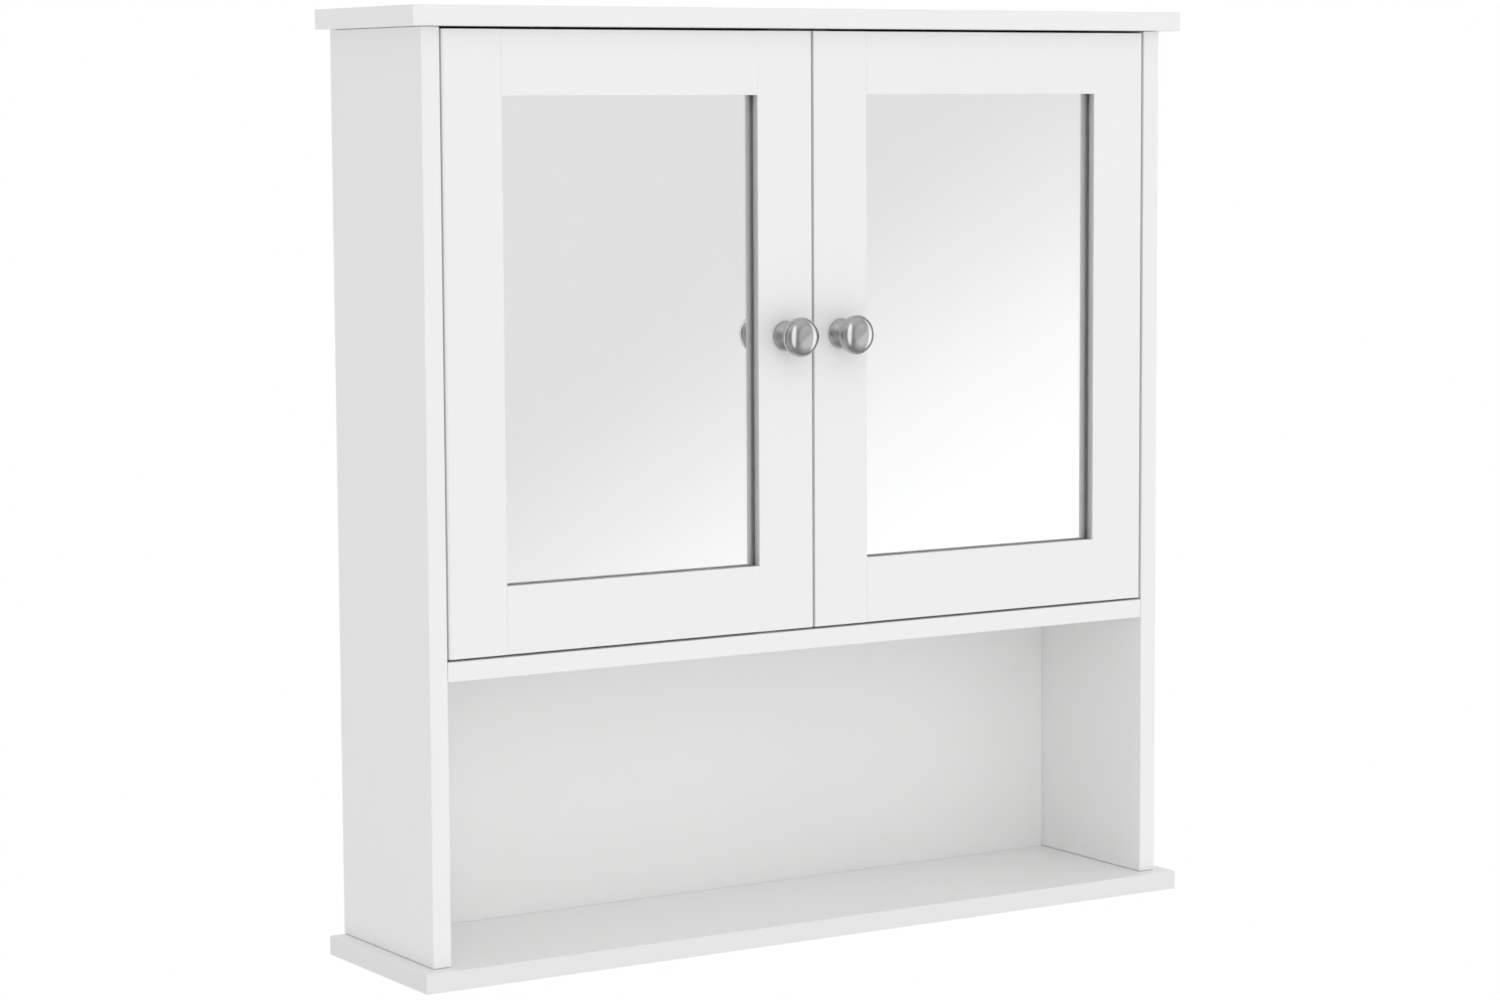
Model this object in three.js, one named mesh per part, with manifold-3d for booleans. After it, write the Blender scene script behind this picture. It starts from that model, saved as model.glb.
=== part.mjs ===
// Hanging wall cabinet: an open compartment under a bay with two inset mirror doors.
// Units are millimetres and +Z is up. X runs along the wall from the cabinet's middle, and -Y
// points into the room. Every piece is placed from the underside of the bottom board, and the
// whole cabinet is then lowered so that the origin lies on the wall plane, at the middle of the
// top board's rear edge.
import * as THREE from "three";
import { mergeVertices } from "three/addons/utils/BufferGeometryUtils.js";
import Module from "manifold-3d";

// ---------------------------------------------------------------- driving dimensions
// Carcass
const WIDTH = 560;
const DEPTH = 130;
const HEIGHT = 580;
const BOARD = 12;
const SIDE_OVERHANG = 10;
const FRONT_OVERHANG = 10;
const LOWER_OPENING = 171;
const BACK_RECESS = 8;
const BACK_THICKNESS = 3;
const GROOVE_DEPTH = 4;
const GROOVE_CLEARANCE = 0.3;
const SEAM = 0.2;

// Adjustable shelf and its pins
const SHELF_DEPTH = 74;
const SHELF_END_CLEARANCE = 2;
const SHELF_BACK_CLEARANCE = 1;
const PIN_HEIGHT = 178;
const PIN_PITCH = 32;
const PIN_ROWS = [-1, 0, 1];
const PIN_BACK_INSET = 14;
const PIN_SPACING = 44;
const PIN_RADIUS = 2.5;
const PIN_PEG_LENGTH = 7.5;
const PIN_REACH = 9;
const PIN_COLLAR_RADIUS = 4;
const PIN_COLLAR_LENGTH = 1.4;
const PIN_HOLE_CLEARANCE = 0.15;
const PIN_HOLE_SPARE_DEPTH = 1;

// Doors
const DOOR_THICKNESS = 15;
const DOOR_GAP = 1.5;
const CENTRE_GAP = 2;
const STILE = 39;
const TOP_RAIL = 39;
const BOTTOM_RAIL = 41;
const LIP = 5.5;
const REBATE = 6;
const PANE_CLEARANCE = 0.5;
const MIRROR_THICKNESS = 3;
const BACKING_THICKNESS = 3;
const EDGE_CHAMFER = 1;

// Knobs
const KNOB_HEIGHT = 183;
const KNOB_BASE_RADIUS = 9.35;
const KNOB_NECK_RADIUS = 4.6;
const KNOB_HEAD_RADIUS = 12.2;
const KNOB_LENGTH = 24.5;
const KNOB_SCREW_RADIUS = 2;
const KNOB_SCREW_ENGAGEMENT = 10;
const KNOB_SCREW_HEAD_RADIUS = 4;
const KNOB_SCREW_HEAD_HEIGHT = 2.2;
const SCREW_CLEARANCE = 0.25;

// Concealed hinges
const HINGE_INSET = 70;
const CUP_RADIUS = 13;
const CUP_FRONT_WALL = 4.5;
const CUP_WALL = 0.8;
const CUP_INSET = 18;
const CUP_FLANGE_RADIUS = 14.5;
const CUP_FLANGE_THICKNESS = 1.2;
const CUP_WING_WIDTH = 14;
const CUP_WING_HEIGHT = 46;
const CUP_SCREW_SPACING = 36;
const CUP_CLEARANCE = 0.2;
const PIVOT_INSET = 20;
const PIVOT_DEPTH = 7.8;
const PIVOT_RADIUS = 1.25;
const PIVOT_CLEARANCE = 0.15;
const EYE_WALL = 0.8;
const CHEEK_THICKNESS = 1.6;
const CHEEK_HALF_WIDTH = 3;
const CHEEK_GAP = 0.5;
const ARM_WIDTH = 9;
const ARM_THICKNESS = 1.6;
const ARM_MOUTH_CLEARANCE = 0.4;
const ARM_SWEEP_CLEARANCE = 6;
const ARM_BEND = 7;
const ARM_CRANK_BEND = 5;
const ARM_TAIL = 28;
const PLATE_THICKNESS = 2;
const PLATE_LENGTH = 26;
const PLATE_HALF_HEIGHT = 8;
const PLATE_WING_LENGTH = 12;
const PLATE_WING_HALF_HEIGHT = 20;
const HINGE_SCREW_RADIUS = 1.75;

// Hanger plates on the rear edges of the side panels
const HANGER_WIDTH = 34;
const HANGER_HEIGHT = 46;
const HANGER_THICKNESS = 1.5;
const HANGER_DROP = 10;
const HANGER_EDGE_INSET = 1;
const HANGER_SEAT_CLEARANCE = 0.3;
const HANGER_SCREW_SPACING = 28;
const HANGER_SCREW_INSET = 5;
const KEYHOLE_RADIUS = 5;
const KEYHOLE_SLOT_RADIUS = 2.6;
const KEYHOLE_TRAVEL = 13;
const KEYHOLE_INSET = 10;

// Wood screws
const WOOD_SCREW_RADIUS = 1.75;
const WOOD_SCREW_HEAD_RADIUS = 3.5;
const WOOD_SCREW_HEAD_HEIGHT = 2.2;
const HANGER_SCREW_LENGTH = 20;
const BASE_SCREW_LENGTH = 40;
const BASE_SCREW_HEAD_DEPTH = 0.5;
const BASE_SCREW_INSET = 26;

// Magnetic catch under the top board
const CATCH_WIDTH = 44;
const CATCH_DEPTH = 15;
const CATCH_HEIGHT = 12;
const CATCH_GAP = 0.4;
const MAGNET_WIDTH = 14;
const MAGNET_HEIGHT = 8;
const MAGNET_DEPTH = 4;
const MAGNET_CLEARANCE = 0.3;
const STRIKE_WIDTH = 18;
const STRIKE_HEIGHT = 8;
const STRIKE_THICKNESS = 0.8;
const STRIKE_HOLE_RADIUS = 1.6;

// Roundness
const SMALL_SIDES = 12;
const ROUND_SIDES = 24;

// ---------------------------------------------------------------- derived places
const LEFT = -1;
const RIGHT = 1;
const SIDES = [
  { name: "left", side: LEFT },
  { name: "right", side: RIGHT },
];
const panelOuter = WIDTH / 2 - SIDE_OVERHANG;
const panelInner = panelOuter - BOARD;
const frontY = FRONT_OVERHANG - DEPTH;
const backFrontY = -BACK_RECESS - BACK_THICKNESS;
const topZ = HEIGHT - BOARD;
const fixedShelfZ = BOARD + LOWER_OPENING;
const bayZ = fixedShelfZ + BOARD;
const doorBottom = bayZ + DOOR_GAP;
const doorTop = topZ - DOOR_GAP;
const doorOuter = panelInner - DOOR_GAP;
const doorInner = CENTRE_GAP / 2;
const doorRearY = frontY + DOOR_THICKNESS;
const cupDepth = DOOR_THICKNESS - CUP_FRONT_WALL;
const openingOuter = doorOuter - STILE;
const openingInner = doorInner + STILE;
const openingBottom = doorBottom + BOTTOM_RAIL;
const openingTop = doorTop - TOP_RAIL;
const knobX = doorInner + STILE / 2;
const knobZ = doorBottom + KNOB_HEIGHT;
const hingeZs = { lower: doorBottom + HINGE_INSET, upper: doorTop - HINGE_INSET };
const pinZ = bayZ + PIN_HEIGHT;
const pinRearY = backFrontY - PIN_BACK_INSET;
const pinYs = { rear: pinRearY, front: pinRearY - PIN_SPACING };

// ---------------------------------------------------------------- materials
function finish(color, roughness, metalness) {
  return () => new THREE.MeshStandardMaterial({ color, roughness, metalness });
}

const whitePaint = finish(0xf2f2f1, 0.45, 0);
const whiteLaminate = finish(0xf4f4f2, 0.4, 0);
const silverMirror = finish(0xe4e8e8, 0.03, 1);
const polishedNickel = finish(0xb9b8b4, 0.18, 1);
const pressedSteel = finish(0xa9abad, 0.35, 1);
const zincScrew = finish(0xb2b0a8, 0.4, 1);
const whitePlastic = finish(0xececea, 0.5, 0);
const ferrite = finish(0x3c3d40, 0.6, 0.2);

// ---------------------------------------------------------------- solids
const wasm = await Module();
wasm.setup();

function toSolid(geometry) {
  const bare = geometry.clone();
  bare.deleteAttribute("normal");
  bare.deleteAttribute("uv");
  const merged = mergeVertices(bare, 1e-4);
  return new wasm.Manifold(
    new wasm.Mesh({
      numProp: 3,
      vertProperties: merged.attributes.position.array,
      triVerts: new Uint32Array(merged.index.array),
    }),
  );
}

function toGeometry(solid) {
  const mesh = solid.getMesh();
  const geometry = new THREE.BufferGeometry();
  geometry.setAttribute("position", new THREE.BufferAttribute(mesh.vertProperties, 3));
  geometry.setIndex(new THREE.BufferAttribute(mesh.triVerts, 1));
  geometry.computeVertexNormals();
  return geometry;
}

function cut(body, ...tools) {
  return toGeometry(tools.reduce((left, tool) => left.subtract(toSolid(tool)), toSolid(body)));
}

function join(body, ...pieces) {
  return toGeometry(pieces.reduce((sum, piece) => sum.add(toSolid(piece)), toSolid(body)));
}

// A box between two corners, given in any order.
function box([ax, ay, az], [bx, by, bz]) {
  const geometry = new THREE.BoxGeometry(Math.abs(bx - ax), Math.abs(by - ay), Math.abs(bz - az));
  return geometry.translate((ax + bx) / 2, (ay + by) / 2, (az + bz) / 2);
}

// Turns a shape built along +Y so that it runs along a direction from a start point.
function along(geometry, [x, y, z], direction) {
  const turn = new THREE.Quaternion().setFromUnitVectors(
    new THREE.Vector3(0, 1, 0),
    new THREE.Vector3(...direction),
  );
  return geometry.applyQuaternion(turn).translate(x, y, z);
}

// A round bar of a given length that starts at a point.
function rod(radius, length, start, direction, sides = SMALL_SIDES) {
  const geometry = new THREE.CylinderGeometry(radius, radius, length, sides);
  return along(geometry.translate(0, length / 2, 0), start, direction);
}

// A turned piece: its profile lists radius and distance along the axis.
function turned(profile, start, direction, sides = ROUND_SIDES) {
  const points = profile.map(([radius, distance]) => new THREE.Vector2(radius, distance));
  return along(new THREE.LatheGeometry(points, sides), start, direction);
}

// A flat outline in X and Y, pulled up through a height.
function prism(outline, bottom, top) {
  const shape = new THREE.Shape(outline.map(([x, y]) => new THREE.Vector2(x, y)));
  const geometry = new THREE.ExtrudeGeometry(shape, { depth: top - bottom, bevelEnabled: false });
  return geometry.translate(0, 0, bottom);
}

function piece(name, geometry, material) {
  const mesh = new THREE.Mesh(geometry, material());
  mesh.name = name;
  return mesh;
}

// ---------------------------------------------------------------- fasteners
// A countersunk wood screw whose head face is at the start point.
function woodScrew(length, start, direction) {
  const profile = [
    [0, 0],
    [WOOD_SCREW_HEAD_RADIUS, 0],
    [WOOD_SCREW_RADIUS, WOOD_SCREW_HEAD_HEIGHT],
    [WOOD_SCREW_RADIUS, length - 2 * WOOD_SCREW_RADIUS],
    [0, length],
  ];
  return turned(profile, start, direction, SMALL_SIDES);
}

// The hole that such a screw fits with a running clearance all round.
function woodScrewHole(length, start, direction) {
  const wide = WOOD_SCREW_HEAD_RADIUS + SCREW_CLEARANCE;
  const narrow = WOOD_SCREW_RADIUS + SCREW_CLEARANCE;
  const profile = [
    [0, -BOARD],
    [wide, -BOARD],
    [wide, SCREW_CLEARANCE],
    [narrow, WOOD_SCREW_HEAD_HEIGHT + SCREW_CLEARANCE],
    [narrow, length + SCREW_CLEARANCE],
    [0, length + SCREW_CLEARANCE],
  ];
  return turned(profile, start, direction, SMALL_SIDES);
}

const UP = [0, 0, 1];
const TO_ROOM = [0, -1, 0];
const TO_WALL = [0, 1, 0];

// ---------------------------------------------------------------- carcass
// The groove for the back panel, cut into a board between two corners of its run.
function backGroove(from, to) {
  const rear = -BACK_RECESS + GROOVE_CLEARANCE;
  const front = backFrontY - GROOVE_CLEARANCE;
  return box([from[0], rear, from[1]], [to[0], front, to[1]]);
}

const panelMiddle = (panelOuter + panelInner) / 2;
const baseScrewYs = [-BASE_SCREW_INSET, frontY + BASE_SCREW_INSET];
const hangerX = panelOuter - HANGER_EDGE_INSET;
const hangerScrewX = panelOuter - HANGER_SCREW_INSET;
const hangerTop = topZ - HANGER_DROP;
const hangerBottom = hangerTop - HANGER_HEIGHT;
const hangerScrewZs = [-1, 1].map((end) => {
  return (hangerTop + hangerBottom + end * HANGER_SCREW_SPACING) / 2;
});

function makeTopBoard() {
  const body = box([-WIDTH / 2, 0, topZ], [WIDTH / 2, -DEPTH, HEIGHT]);
  const run = panelInner + GROOVE_DEPTH;
  const groove = backGroove([-run, topZ - SEAM], [run, topZ + GROOVE_DEPTH]);
  return piece("top_board", cut(body, groove), whitePaint);
}

function makeBottomBoard() {
  const body = box([-WIDTH / 2, 0, 0], [WIDTH / 2, -DEPTH, BOARD]);
  const run = panelInner + GROOVE_DEPTH;
  const groove = backGroove([-run, BOARD - GROOVE_DEPTH], [run, BOARD + SEAM]);
  const holes = SIDES.flatMap(({ side }) =>
    baseScrewYs.map((y) =>
      woodScrewHole(BASE_SCREW_LENGTH, [side * panelMiddle, y, BASE_SCREW_HEAD_DEPTH], UP),
    ),
  );
  return piece("bottom_board", cut(body, groove, ...holes), whitePaint);
}

function makeSidePanel(name, side) {
  const body = box(
    [side * panelInner, 0, BOARD + SEAM],
    [side * panelOuter, frontY, topZ - SEAM],
  );
  const groove = backGroove(
    [side * (panelInner - SEAM), BOARD],
    [side * (panelInner + GROOVE_DEPTH), topZ],
  );
  const seat = box(
    [side * (panelInner - SEAM), SEAM, hangerBottom - HANGER_SEAT_CLEARANCE],
    [
      side * (hangerX + HANGER_SEAT_CLEARANCE),
      -HANGER_THICKNESS - SEAM,
      hangerTop + HANGER_SEAT_CLEARANCE,
    ],
  );
  const pinHoles = PIN_ROWS.flatMap((row) =>
    Object.values(pinYs).map((y) =>
      rod(
        PIN_RADIUS + PIN_HOLE_CLEARANCE,
        PIN_PEG_LENGTH + PIN_HOLE_SPARE_DEPTH + SEAM,
        [side * (panelInner - SEAM), y, pinZ + row * PIN_PITCH],
        [side, 0, 0],
      ),
    ),
  );
  const baseHoles = baseScrewYs.map((y) =>
    woodScrewHole(BASE_SCREW_LENGTH, [side * panelMiddle, y, BASE_SCREW_HEAD_DEPTH], UP),
  );
  const hangerHoles = hangerScrewZs.map((z) =>
    woodScrewHole(HANGER_SCREW_LENGTH, [side * hangerScrewX, 0, z], TO_ROOM),
  );
  const drilled = cut(body, groove, seat, ...pinHoles, ...baseHoles, ...hangerHoles);
  return piece(`${name}_side_panel`, drilled, whitePaint);
}

function makeFixedShelf() {
  const end = panelInner - SEAM;
  const rear = backFrontY - SEAM;
  return piece(
    "fixed_shelf",
    box([-end, rear, fixedShelfZ], [end, frontY, bayZ]),
    whitePaint,
  );
}

function makeBackPanel() {
  const reach = GROOVE_DEPTH - GROOVE_CLEARANCE;
  const end = panelInner + reach;
  return piece(
    "back_panel",
    box([-end, -BACK_RECESS, BOARD - reach], [end, backFrontY, topZ + reach]),
    whiteLaminate,
  );
}

function makeHanger(name, side) {
  const plate = box(
    [side * hangerX, 0, hangerBottom],
    [side * (hangerX - HANGER_WIDTH), -HANGER_THICKNESS, hangerTop],
  );
  const slotX = side * (hangerX - HANGER_WIDTH + KEYHOLE_INSET);
  const middle = (hangerTop + hangerBottom) / 2;
  const entryZ = middle - KEYHOLE_TRAVEL / 2;
  const seatZ = middle + KEYHOLE_TRAVEL / 2;
  const through = HANGER_THICKNESS + 2 * SEAM;
  const entry = rod(KEYHOLE_RADIUS, through, [slotX, SEAM, entryZ], TO_ROOM, ROUND_SIDES);
  const seat = rod(KEYHOLE_SLOT_RADIUS, through, [slotX, SEAM, seatZ], TO_ROOM);
  const slot = box(
    [slotX - KEYHOLE_SLOT_RADIUS, SEAM, entryZ],
    [slotX + KEYHOLE_SLOT_RADIUS, -HANGER_THICKNESS - SEAM, seatZ],
  );
  const holes = hangerScrewZs.map((z) =>
    woodScrewHole(HANGER_SCREW_LENGTH, [side * hangerScrewX, 0, z], TO_ROOM),
  );
  return piece(`${name}_hanger_plate`, cut(plate, entry, seat, slot, ...holes), pressedSteel);
}

function makeHangerScrews(name, side) {
  return hangerScrewZs.map((z, index) =>
    piece(
      `${name}_hanger_screw_${index + 1}`,
      woodScrew(HANGER_SCREW_LENGTH, [side * hangerScrewX, 0, z], TO_ROOM),
      zincScrew,
    ),
  );
}

function makeBaseScrews(name, side) {
  return baseScrewYs.map((y, index) =>
    piece(
      `${name}_base_screw_${index + 1}`,
      woodScrew(BASE_SCREW_LENGTH, [side * panelMiddle, y, BASE_SCREW_HEAD_DEPTH], UP),
      zincScrew,
    ),
  );
}

// ---------------------------------------------------------------- adjustable shelf
function makeAdjustableShelf() {
  const end = panelInner - SHELF_END_CLEARANCE;
  const rear = backFrontY - SHELF_BACK_CLEARANCE;
  const bottom = pinZ + PIN_RADIUS + SEAM;
  return piece(
    "adjustable_shelf",
    box([-end, rear, bottom], [end, rear - SHELF_DEPTH, bottom + BOARD]),
    whitePaint,
  );
}

function makeShelfPin(name, side, y) {
  const collarFrom = PIN_PEG_LENGTH + SEAM;
  const collarTo = collarFrom + PIN_COLLAR_LENGTH;
  const profile = [
    [0, 0],
    [PIN_RADIUS, 0],
    [PIN_RADIUS, collarFrom],
    [PIN_COLLAR_RADIUS, collarFrom],
    [PIN_COLLAR_RADIUS, collarTo],
    [PIN_RADIUS, collarTo],
    [PIN_RADIUS, collarTo + PIN_REACH],
    [0, collarTo + PIN_REACH],
  ];
  const start = [side * (panelInner + PIN_PEG_LENGTH), y, pinZ];
  return piece(name, turned(profile, start, [-side, 0, 0], SMALL_SIDES), polishedNickel);
}

// ---------------------------------------------------------------- doors
// A frame member seen from above: its outer front corner is chamfered at each chamfered end.
function stileOutline(side, outer, inner) {
  return [
    [side * outer, doorRearY],
    [side * inner, doorRearY],
    [side * inner, frontY],
    [side * (outer - EDGE_CHAMFER), frontY],
    [side * outer, frontY + EDGE_CHAMFER],
  ];
}

// The pocket that holds the mirror and its backing, open to the rear of the door.
function rebatePocket(side) {
  return box(
    [
      side * (openingOuter + REBATE),
      frontY + LIP,
      openingBottom - REBATE,
    ],
    [
      side * (openingInner - REBATE),
      doorRearY + SEAM,
      openingTop + REBATE,
    ],
  );
}

function makeStiles(name, side) {
  const pocket = rebatePocket(side);
  const cupX = side * (doorOuter - CUP_INSET);
  const cupHoles = Object.values(hingeZs).map((z) =>
    rod(
      CUP_RADIUS + CUP_CLEARANCE,
      cupDepth + CUP_CLEARANCE + SEAM,
      [cupX, doorRearY + SEAM, z],
      TO_ROOM,
      ROUND_SIDES,
    ),
  );
  const hingeStile = prism(stileOutline(side, doorOuter, openingOuter), doorBottom, doorTop);
  const lockStile = box(
    [side * openingInner, doorRearY, doorBottom],
    [side * doorInner, frontY, doorTop],
  );
  const knobHole = rod(
    KNOB_SCREW_RADIUS + SCREW_CLEARANCE,
    DOOR_THICKNESS + 2 * SEAM,
    [side * knobX, doorRearY + SEAM, knobZ],
    TO_ROOM,
  );
  return [
    piece(`${name}_hinge_stile`, cut(hingeStile, pocket, ...cupHoles), whitePaint),
    piece(`${name}_lock_stile`, cut(lockStile, pocket, knobHole), whitePaint),
  ];
}

function makeRails(name, side) {
  const pocket = rebatePocket(side);
  const outer = openingOuter - SEAM;
  const inner = openingInner + SEAM;
  const rail = (bottom, top) =>
    cut(box([side * outer, doorRearY, bottom], [side * inner, frontY, top]), pocket);
  return [
    piece(`${name}_top_rail`, rail(openingTop, doorTop), whitePaint),
    piece(`${name}_bottom_rail`, rail(doorBottom, openingBottom), whitePaint),
  ];
}

function makePanes(name, side) {
  const reach = REBATE - PANE_CLEARANCE;
  const pane = (front, thickness) =>
    box(
      [side * (openingOuter + reach), front, openingBottom - reach],
      [side * (openingInner - reach), front + thickness, openingTop + reach],
    );
  const mirrorFront = frontY + LIP + SEAM;
  const backingFront = mirrorFront + MIRROR_THICKNESS + SEAM;
  return [
    piece(`${name}_mirror`, pane(mirrorFront, MIRROR_THICKNESS), silverMirror),
    piece(`${name}_backing_board`, pane(backingFront, BACKING_THICKNESS), whiteLaminate),
  ];
}

// ---------------------------------------------------------------- knobs
// Radius along the knob, as [share of the length, radius], from the door to the crown.
const knobCurve = [
  [0, KNOB_BASE_RADIUS],
  [0.045, KNOB_BASE_RADIUS],
  [0.09, KNOB_BASE_RADIUS * 0.93],
  [0.15, (KNOB_BASE_RADIUS + KNOB_NECK_RADIUS) / 2 + 0.6],
  [0.22, KNOB_NECK_RADIUS + 0.9],
  [0.3, KNOB_NECK_RADIUS],
  [0.38, KNOB_NECK_RADIUS + 0.3],
  [0.46, KNOB_NECK_RADIUS + 1.9],
  [0.54, KNOB_HEAD_RADIUS * 0.78],
  [0.62, KNOB_HEAD_RADIUS * 0.93],
  [0.72, KNOB_HEAD_RADIUS],
  [0.81, KNOB_HEAD_RADIUS * 0.965],
  [0.89, KNOB_HEAD_RADIUS * 0.84],
  [0.95, KNOB_HEAD_RADIUS * 0.62],
  [0.985, KNOB_HEAD_RADIUS * 0.34],
  [1, 0],
];

function makeKnob(name, side) {
  const bore = KNOB_SCREW_RADIUS + SCREW_CLEARANCE;
  const outside = knobCurve.map(([share, radius]) => [radius, share * KNOB_LENGTH]);
  const profile = [
    [0, KNOB_SCREW_ENGAGEMENT + SCREW_CLEARANCE],
    [bore, KNOB_SCREW_ENGAGEMENT + SCREW_CLEARANCE],
    [bore, 0],
    ...outside,
  ];
  const start = [side * knobX, frontY - SEAM, knobZ];
  return piece(`${name}_knob`, turned(profile, start, TO_ROOM), polishedNickel);
}

function makeKnobScrew(name, side) {
  const headTo = KNOB_SCREW_HEAD_HEIGHT;
  const length = headTo + SEAM + DOOR_THICKNESS + SEAM + KNOB_SCREW_ENGAGEMENT - SEAM;
  const profile = [
    [0, 0],
    [KNOB_SCREW_HEAD_RADIUS * 0.7, 0],
    [KNOB_SCREW_HEAD_RADIUS, headTo / 2],
    [KNOB_SCREW_HEAD_RADIUS, headTo],
    [KNOB_SCREW_RADIUS, headTo],
    [KNOB_SCREW_RADIUS, length],
    [0, length],
  ];
  const start = [side * knobX, doorRearY + SEAM + headTo, knobZ];
  return piece(`${name}_knob_screw`, turned(profile, start, TO_ROOM, SMALL_SIDES), zincScrew);
}

// ---------------------------------------------------------------- concealed hinges
// A hinge is drawn about its pivot: u runs from the side panel towards the cabinet's middle,
// and v runs from the front towards the wall.
const pivotX = doorOuter - PIVOT_INSET;
const pivotY = frontY + PIVOT_DEPTH;
const eyeBore = PIVOT_RADIUS + PIVOT_CLEARANCE;
const eyeRadius = eyeBore + EYE_WALL;
const cupU = CUP_INSET - PIVOT_INSET;
const rearV = DOOR_THICKNESS - PIVOT_DEPTH;
const panelU = -PIVOT_INSET - DOOR_GAP;
const plateU = panelU + SEAM + PLATE_THICKNESS;
const tailU = plateU + SEAM + ARM_THICKNESS / 2;

// The arm leaves the cup close to the inner side of its mouth, and crosses to the side panel
// beyond the circle that the door's rear corner sweeps.
const mouthV = rearV + SEAM + CUP_FLANGE_THICKNESS;
const mouthHalfChord = Math.sqrt((CUP_RADIUS - CUP_WALL) ** 2 - (ARM_WIDTH / 2) ** 2);
const mouthU = mouthHalfChord + cupU - 0.75 * ARM_THICKNESS - ARM_MOUTH_CLEARANCE;
const armAngle = Math.atan2(mouthV, mouthU);
const sweepRadius = Math.hypot(PIVOT_INSET, rearV);
const crossV = sweepRadius + ARM_SWEEP_CLEARANCE + ARM_THICKNESS / 2;
const neckLength = (crossV - ARM_BEND * (1 + Math.cos(armAngle))) / Math.sin(armAngle);

// Centre line of the cranked arm: out of the cup, round the door's edge, across to the side
// panel, and back along it.
function armCentreLine() {
  const bend = [
    neckLength * Math.cos(armAngle) - ARM_BEND * Math.sin(armAngle),
    crossV - ARM_BEND,
  ];
  const crank = [tailU + ARM_CRANK_BEND, crossV + ARM_CRANK_BEND];
  const line = [[Math.cos(armAngle) * eyeBore, Math.sin(armAngle) * eyeBore]];
  const bendSteps = 8;
  for (let i = 0; i <= bendSteps; i += 1) {
    const angle = armAngle - Math.PI / 2 + ((Math.PI - armAngle) * i) / bendSteps;
    line.push([bend[0] + ARM_BEND * Math.cos(angle), bend[1] + ARM_BEND * Math.sin(angle)]);
  }
  const crankSteps = 4;
  for (let i = 0; i <= crankSteps; i += 1) {
    const angle = -Math.PI / 2 - (Math.PI / 2) * (i / crankSteps);
    line.push([
      crank[0] + ARM_CRANK_BEND * Math.cos(angle),
      crank[1] + ARM_CRANK_BEND * Math.sin(angle),
    ]);
  }
  line.push([tailU, crank[1] + ARM_TAIL]);
  return line;
}

// A strip of even thickness that follows a line.
function strip(line, thickness) {
  const offset = (sign) =>
    line.map(([u, v], i) => {
      const [au, av] = line[Math.max(i - 1, 0)];
      const [bu, bv] = line[Math.min(i + 1, line.length - 1)];
      const length = Math.hypot(bu - au, bv - av);
      const step = (sign * thickness) / 2 / length;
      return [u - (bv - av) * step, v + (bu - au) * step];
    });
  return [...offset(1), ...offset(-1).reverse()];
}

const tailStartV = armCentreLine().at(-1)[1] - ARM_TAIL;
const armScrewV = tailStartV + ARM_TAIL / 2;

// A hinge's pieces are made about the pivot with the side as the sign of u, then moved there.
function placeHinge(geometry, side, z) {
  return geometry.translate(side * pivotX, pivotY, z);
}

function makeHingeArm(name, side, z) {
  const outline = strip(armCentreLine(), ARM_THICKNESS).map(([u, v]) => [-side * u, v]);
  const half = ARM_WIDTH / 2;
  const eye = rod(eyeRadius, ARM_WIDTH, [0, 0, -half], UP, ROUND_SIDES);
  const bore = rod(eyeBore, ARM_WIDTH + 2 * SEAM, [0, 0, -half - SEAM], UP, ROUND_SIDES);
  const screwHole = rod(
    HINGE_SCREW_RADIUS,
    ARM_THICKNESS * 2,
    [-side * (tailU - ARM_THICKNESS), armScrewV, 0],
    [-side, 0, 0],
  );
  const body = cut(join(prism(outline, -half, half), eye), bore, screwHole);
  return piece(`${name}_arm`, placeHinge(body, side, z), pressedSteel);
}

function makeMountingPlate(name, side, z) {
  const slab = (length, half) =>
    box(
      [-side * plateU, armScrewV - length / 2, -half],
      [-side * (plateU - PLATE_THICKNESS), armScrewV + length / 2, half],
    );
  const holeZs = [-1, 0, 1].map((end) => {
    return (end * (PLATE_HALF_HEIGHT + PLATE_WING_HALF_HEIGHT)) / 2;
  });
  const holes = holeZs.map((holeZ) =>
    rod(
      HINGE_SCREW_RADIUS,
      PLATE_THICKNESS + 2 * SEAM,
      [-side * (plateU + SEAM), armScrewV, holeZ],
      [side, 0, 0],
    ),
  );
  const body = join(
    slab(PLATE_LENGTH, PLATE_HALF_HEIGHT),
    slab(PLATE_WING_LENGTH, PLATE_WING_HALF_HEIGHT),
  );
  return piece(`${name}_mounting_plate`, placeHinge(cut(body, ...holes), side, z), pressedSteel);
}

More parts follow.
